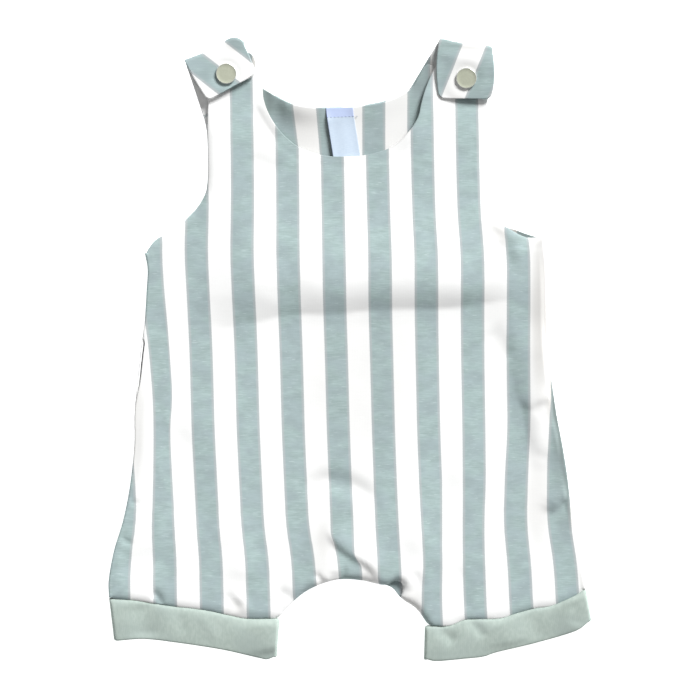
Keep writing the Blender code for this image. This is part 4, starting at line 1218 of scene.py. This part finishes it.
def cuffRing(seam, hem):
    # once round the flat leg: a point on the seam, one on the fold, the outward normal, and 1 above to -1 below
    def at(line, share):
        along = np.linspace(0, 1, len(line))
        return np.array([np.interp(share, along, line[:, k]) for k in range(2)])

    across = [(line[-1] - line[0]) / np.linalg.norm(line[-1] - line[0]) for line in (seam, hem)]
    angles = np.linspace(-90, 90, cuff["endSteps"] + 1)[1:-1]
    ring = []
    for level, start, end, order in ((1, 0, 1, angles[::-1]), (-1, 1, 0, angles)):
        shares = np.linspace(start, end, cuff["columns"])
        ring += [(at(seam, s), at(hem, s), (0, 0, level), level) for s in shares]
        for turn in np.radians(order):
            out = cuff["bulge"] * math.cos(turn) * level
            normal = (*(level * across[0] * math.cos(turn)), math.sin(turn))
            upper, lower = (at(line, end) + way * out for line, way in zip((seam, hem), across))
            ring.append((upper, lower, normal, math.sin(turn)))
    return ring


def halfTurn(start, steps):
    return np.radians(np.linspace(start, -start, steps + 1)[1:-1])


def makeCuff(side):
    settings = cuffs[side]
    half = cuff["wall"] / 2
    top, bottom = (np.array(settings[key], float) for key in ("top", "bottom"))
    top -= (0, cloth["seamGap"] * 0.6)
    for line, (start, end) in ((top, settings["topIn"]), (bottom, settings["bottomIn"])):
        line[0] += (start, 0)
        line[-1] -= (end, 0)
    ring = cuffRing(curveThrough(top, 1), curveThrough(bottom, 1))
    # across the wall: down its outer side, round the fold, up its inner side, round the seam
    walk = [(share, 1, 0) for share in np.linspace(0, 1, cuff["rows"] + 1)]
    walk += [(1, math.sin(t), math.cos(t)) for t in halfTurn(90, cuff["noseSteps"])]
    walk += [(share, -1, 0) for share in np.linspace(1, 0, cuff["rows"] + 1)]
    walk += [(0, math.sin(t), -math.cos(t) * cuff["topNose"]) for t in halfTurn(-90, 4)]
    plans, outs, levels, downs, uv = [], [], [], [], []
    around = 0
    for k, (upper, lower, normal, level) in enumerate(ring):
        if k:
            around += np.linalg.norm(upper - ring[k - 1][0])
        reach = lower - upper
        length = np.linalg.norm(reach) - half
        reach = reach / np.linalg.norm(reach)
        for share, out, nose in walk:
            plans.append(upper + reach * (length * share + nose * half))
            outs.append(np.array(normal) * out * half)
            levels.append(level)
            downs.append(share)
            uv.append((around / cloth["stripePitch"], (length * share) / cloth["stripePitch"]))
    plans, level, share = np.array(plans), np.array(levels), np.array(downs)
    columns, count = cuff["columns"], len(walk)
    onTop = ease((level - 0.3) / 0.7)
    fromEnd = [min(k, columns - 1 - k) if k < columns else 0 for k in range(len(ring))]
    atEnd = 1 - ease(np.repeat(fromEnd, count) / cuff["endReach"])
    heights = half + cuff["roll"] * (1 + level)
    heights -= settings["endDip"] * (1 + level) / 2 * atEnd
    folds = foldedHeight(plans, {"soft": settings["soft"], "lapped": ()})
    wave, seed, rise = cuff["wave"]
    heights += onTop * (folds + rise * unevenness(plans, wave, seed))
    puff = cuff["puff"] * np.sin(math.pi * np.clip(share, 0, 1))
    heights += onTop * (puff - cuff["seamDip"] * (1 - roundOver(share * 4.5)))
    points = np.column_stack([plans, heights]) + np.array(outs)
    points[:, 2] = np.maximum(points[:, 2], 0)
    total = len(points)
    faces = [
        (s + k, s + (k + 1) % count, (s + count + (k + 1) % count) % total, (s + count + k) % total)
        for s in range(0, total, count)
        for k in range(count)
    ]
    mesh = plainMesh(f"{side}CuffCloth", points, faces, uv)
    work = bmesh.new()
    work.from_mesh(mesh)
    closeMesh(work, mesh, 0.001)
    piece = addPiece(f"{side}CuffCloth", mesh, finishes["rib"])
    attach(piece, "root")
    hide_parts(f"cuff_{side}")
    return piece


# ---- snap caps
snap = {
    "radius": 5.8,
    "height": 1.3,
    "segments": 96,
    "corner": 0.42,
    "rim": 0.42,
    "recess": 0.1,
    "downTab": 0.65,  # where it sits, as a share of the tab's fall
    "sunk": 0.05,
}


def makeSnap(side):
    strap = straps[side]
    x, y = strap["snap"]
    foot = tabZ + strap["lift"] - snap["downTab"] * strap["fall"] + cloth["tabWall"] / 2 - snap["sunk"]
    r, h, c = snap["radius"], snap["height"], snap["corner"]
    inner, face = r - snap["rim"], h - snap["recess"]
    rings = [(0, 0), (r - 0.6, 0), (r - 0.2, 0.2), (r, 0.5)]
    turns = np.radians((90, 70, 50, 30, 12, 0))
    rings += [(r - c * (1 - math.sin(t)), h - c * (1 - math.cos(t))) for t in turns]
    rings += [(inner, h - 0.03), (inner - 0.16, face), (r * 0.6, face), (r * 0.25, face), (0, face)]
    work = bmesh.new()
    chain = [work.verts.new(((x + a) / 1000, y / 1000, (foot + b) / 1000)) for a, b in rings]
    links = [work.edges.new(pair) for pair in zip(chain, chain[1:])]
    spin = {"cent": (x / 1000, y / 1000, 0), "axis": (0, 0, 1), "angle": 2 * math.pi, "steps": snap["segments"]}
    bmesh.ops.spin(work, geom=chain + links, use_merge=True, use_duplicate=False, **spin)
    for vert in work.verts:  # the cap leans with its tab
        vert.co.z += strap["tilt"] * (vert.co.x - x / 1000) + strap["fall"] / 30 * (vert.co.y - y / 1000)
    mesh = bpy.data.meshes.new(f"{side}Cap")
    closeMesh(work, mesh, 0.002)
    piece = addPiece(f"{side}Cap", mesh, finishes["rim"])
    mesh.materials.append(finishes["cap"])
    for polygon in mesh.polygons:
        middle = polygon.center * 1000
        inFace = math.hypot(middle.x - x, middle.y - y) < inner - 0.05 and polygon.normal.z > 0.5
        polygon.material_index = 1 if inFace else 0
    mesh.set_sharp_from_angle(angle=math.radians(55))
    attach(piece, "root")
    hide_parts(f"snap_cap_{side}")
    return piece


finishes = {
    "jersey": jerseyFinish("stripedJersey", jerseyLook),
    "facing": jerseyFinish("facingJersey", jerseyLook),
    "rib": ribFinish("ribKnit", ribLook),
    "label": labelFinish("labelSatin", labelLook),
    "cap": enamelFinish("capEnamel", (0.43, 0.45, 0.355, 1), 0.5, 0),
    "rim": enamelFinish("capRim", (0.72, 0.73, 0.68, 1), 0.28, 0.55),
    "thread": threadFinish("labelThread", (0.30, 0.35, 0.50, 1)),
}
print("finishes made")

makeBack()
makeFacing()
makeLabel()
makeFront()
for side in ("left", "right"):
    makeCuff(side)
    makeSnap(side)
print("pieces made")

# ---- floor, light and camera
studio = {
    "floorSize": 6,
    "floorGlow": 0.9,
    "floorDrop": 0.0004,
    "world": 0.33,
    "sun": 5.75,
    "sunTilt": 60,  # from straight above
    "sunTurn": -34,  # from the top of the picture, towards its right
    "sunSoftness": 24,
    "viewWidth": 0.3948,
    "viewLevel": 0.004,  # the height at which the view is that wide
    "cameraHeight": 1.6,
    "sensor": 36,
}


def makeStudio():
    scene = bpy.context.scene
    size, low = studio["floorSize"] / 2, -studio["floorDrop"]
    mesh = bpy.data.meshes.new("floor")
    corners = [(-size, -size, low), (size, -size, low), (size, size, low), (-size, size, low)]
    mesh.from_pydata(corners, [], [(0, 1, 2, 3)])
    paper = Finish("paper", 0.9)
    paper.set("Base Color", (0.9, 0.9, 0.9, 1))
    paper.set("Emission Color", (1, 1, 1, 1))
    paper.set("Emission Strength", studio["floorGlow"])
    mesh.materials.append(paper.material)
    floor = addToScene("floor", mesh)

    world = bpy.data.worlds.new("studio")
    world.use_nodes = True
    sky = world.node_tree.nodes["Background"].inputs
    sky["Color"].default_value = (1, 1, 1, 1)
    sky["Strength"].default_value = studio["world"]
    scene.world = world

    lamp = bpy.data.lights.new("window", "SUN")
    lamp.energy = studio["sun"]
    lamp.angle = math.radians(studio["sunSoftness"])
    sun = addToScene("window", lamp)
    sun.rotation_euler = (-math.radians(studio["sunTilt"]), 0, math.radians(studio["sunTurn"]))

    lens = bpy.data.cameras.new("camera")
    lens.sensor_width = studio["sensor"]
    lens.lens = studio["sensor"] * (studio["cameraHeight"] - studio["viewLevel"]) / studio["viewWidth"]
    lens.clip_start = 0.01
    camera = addToScene("camera", lens)
    camera.location = (0, 0, studio["cameraHeight"])
    scene.camera = camera
    scene.view_settings.view_transform = "Standard"
    scene.view_settings.look = "None"
    scene.view_settings.exposure = 0


makeStudio()
print("studio made")
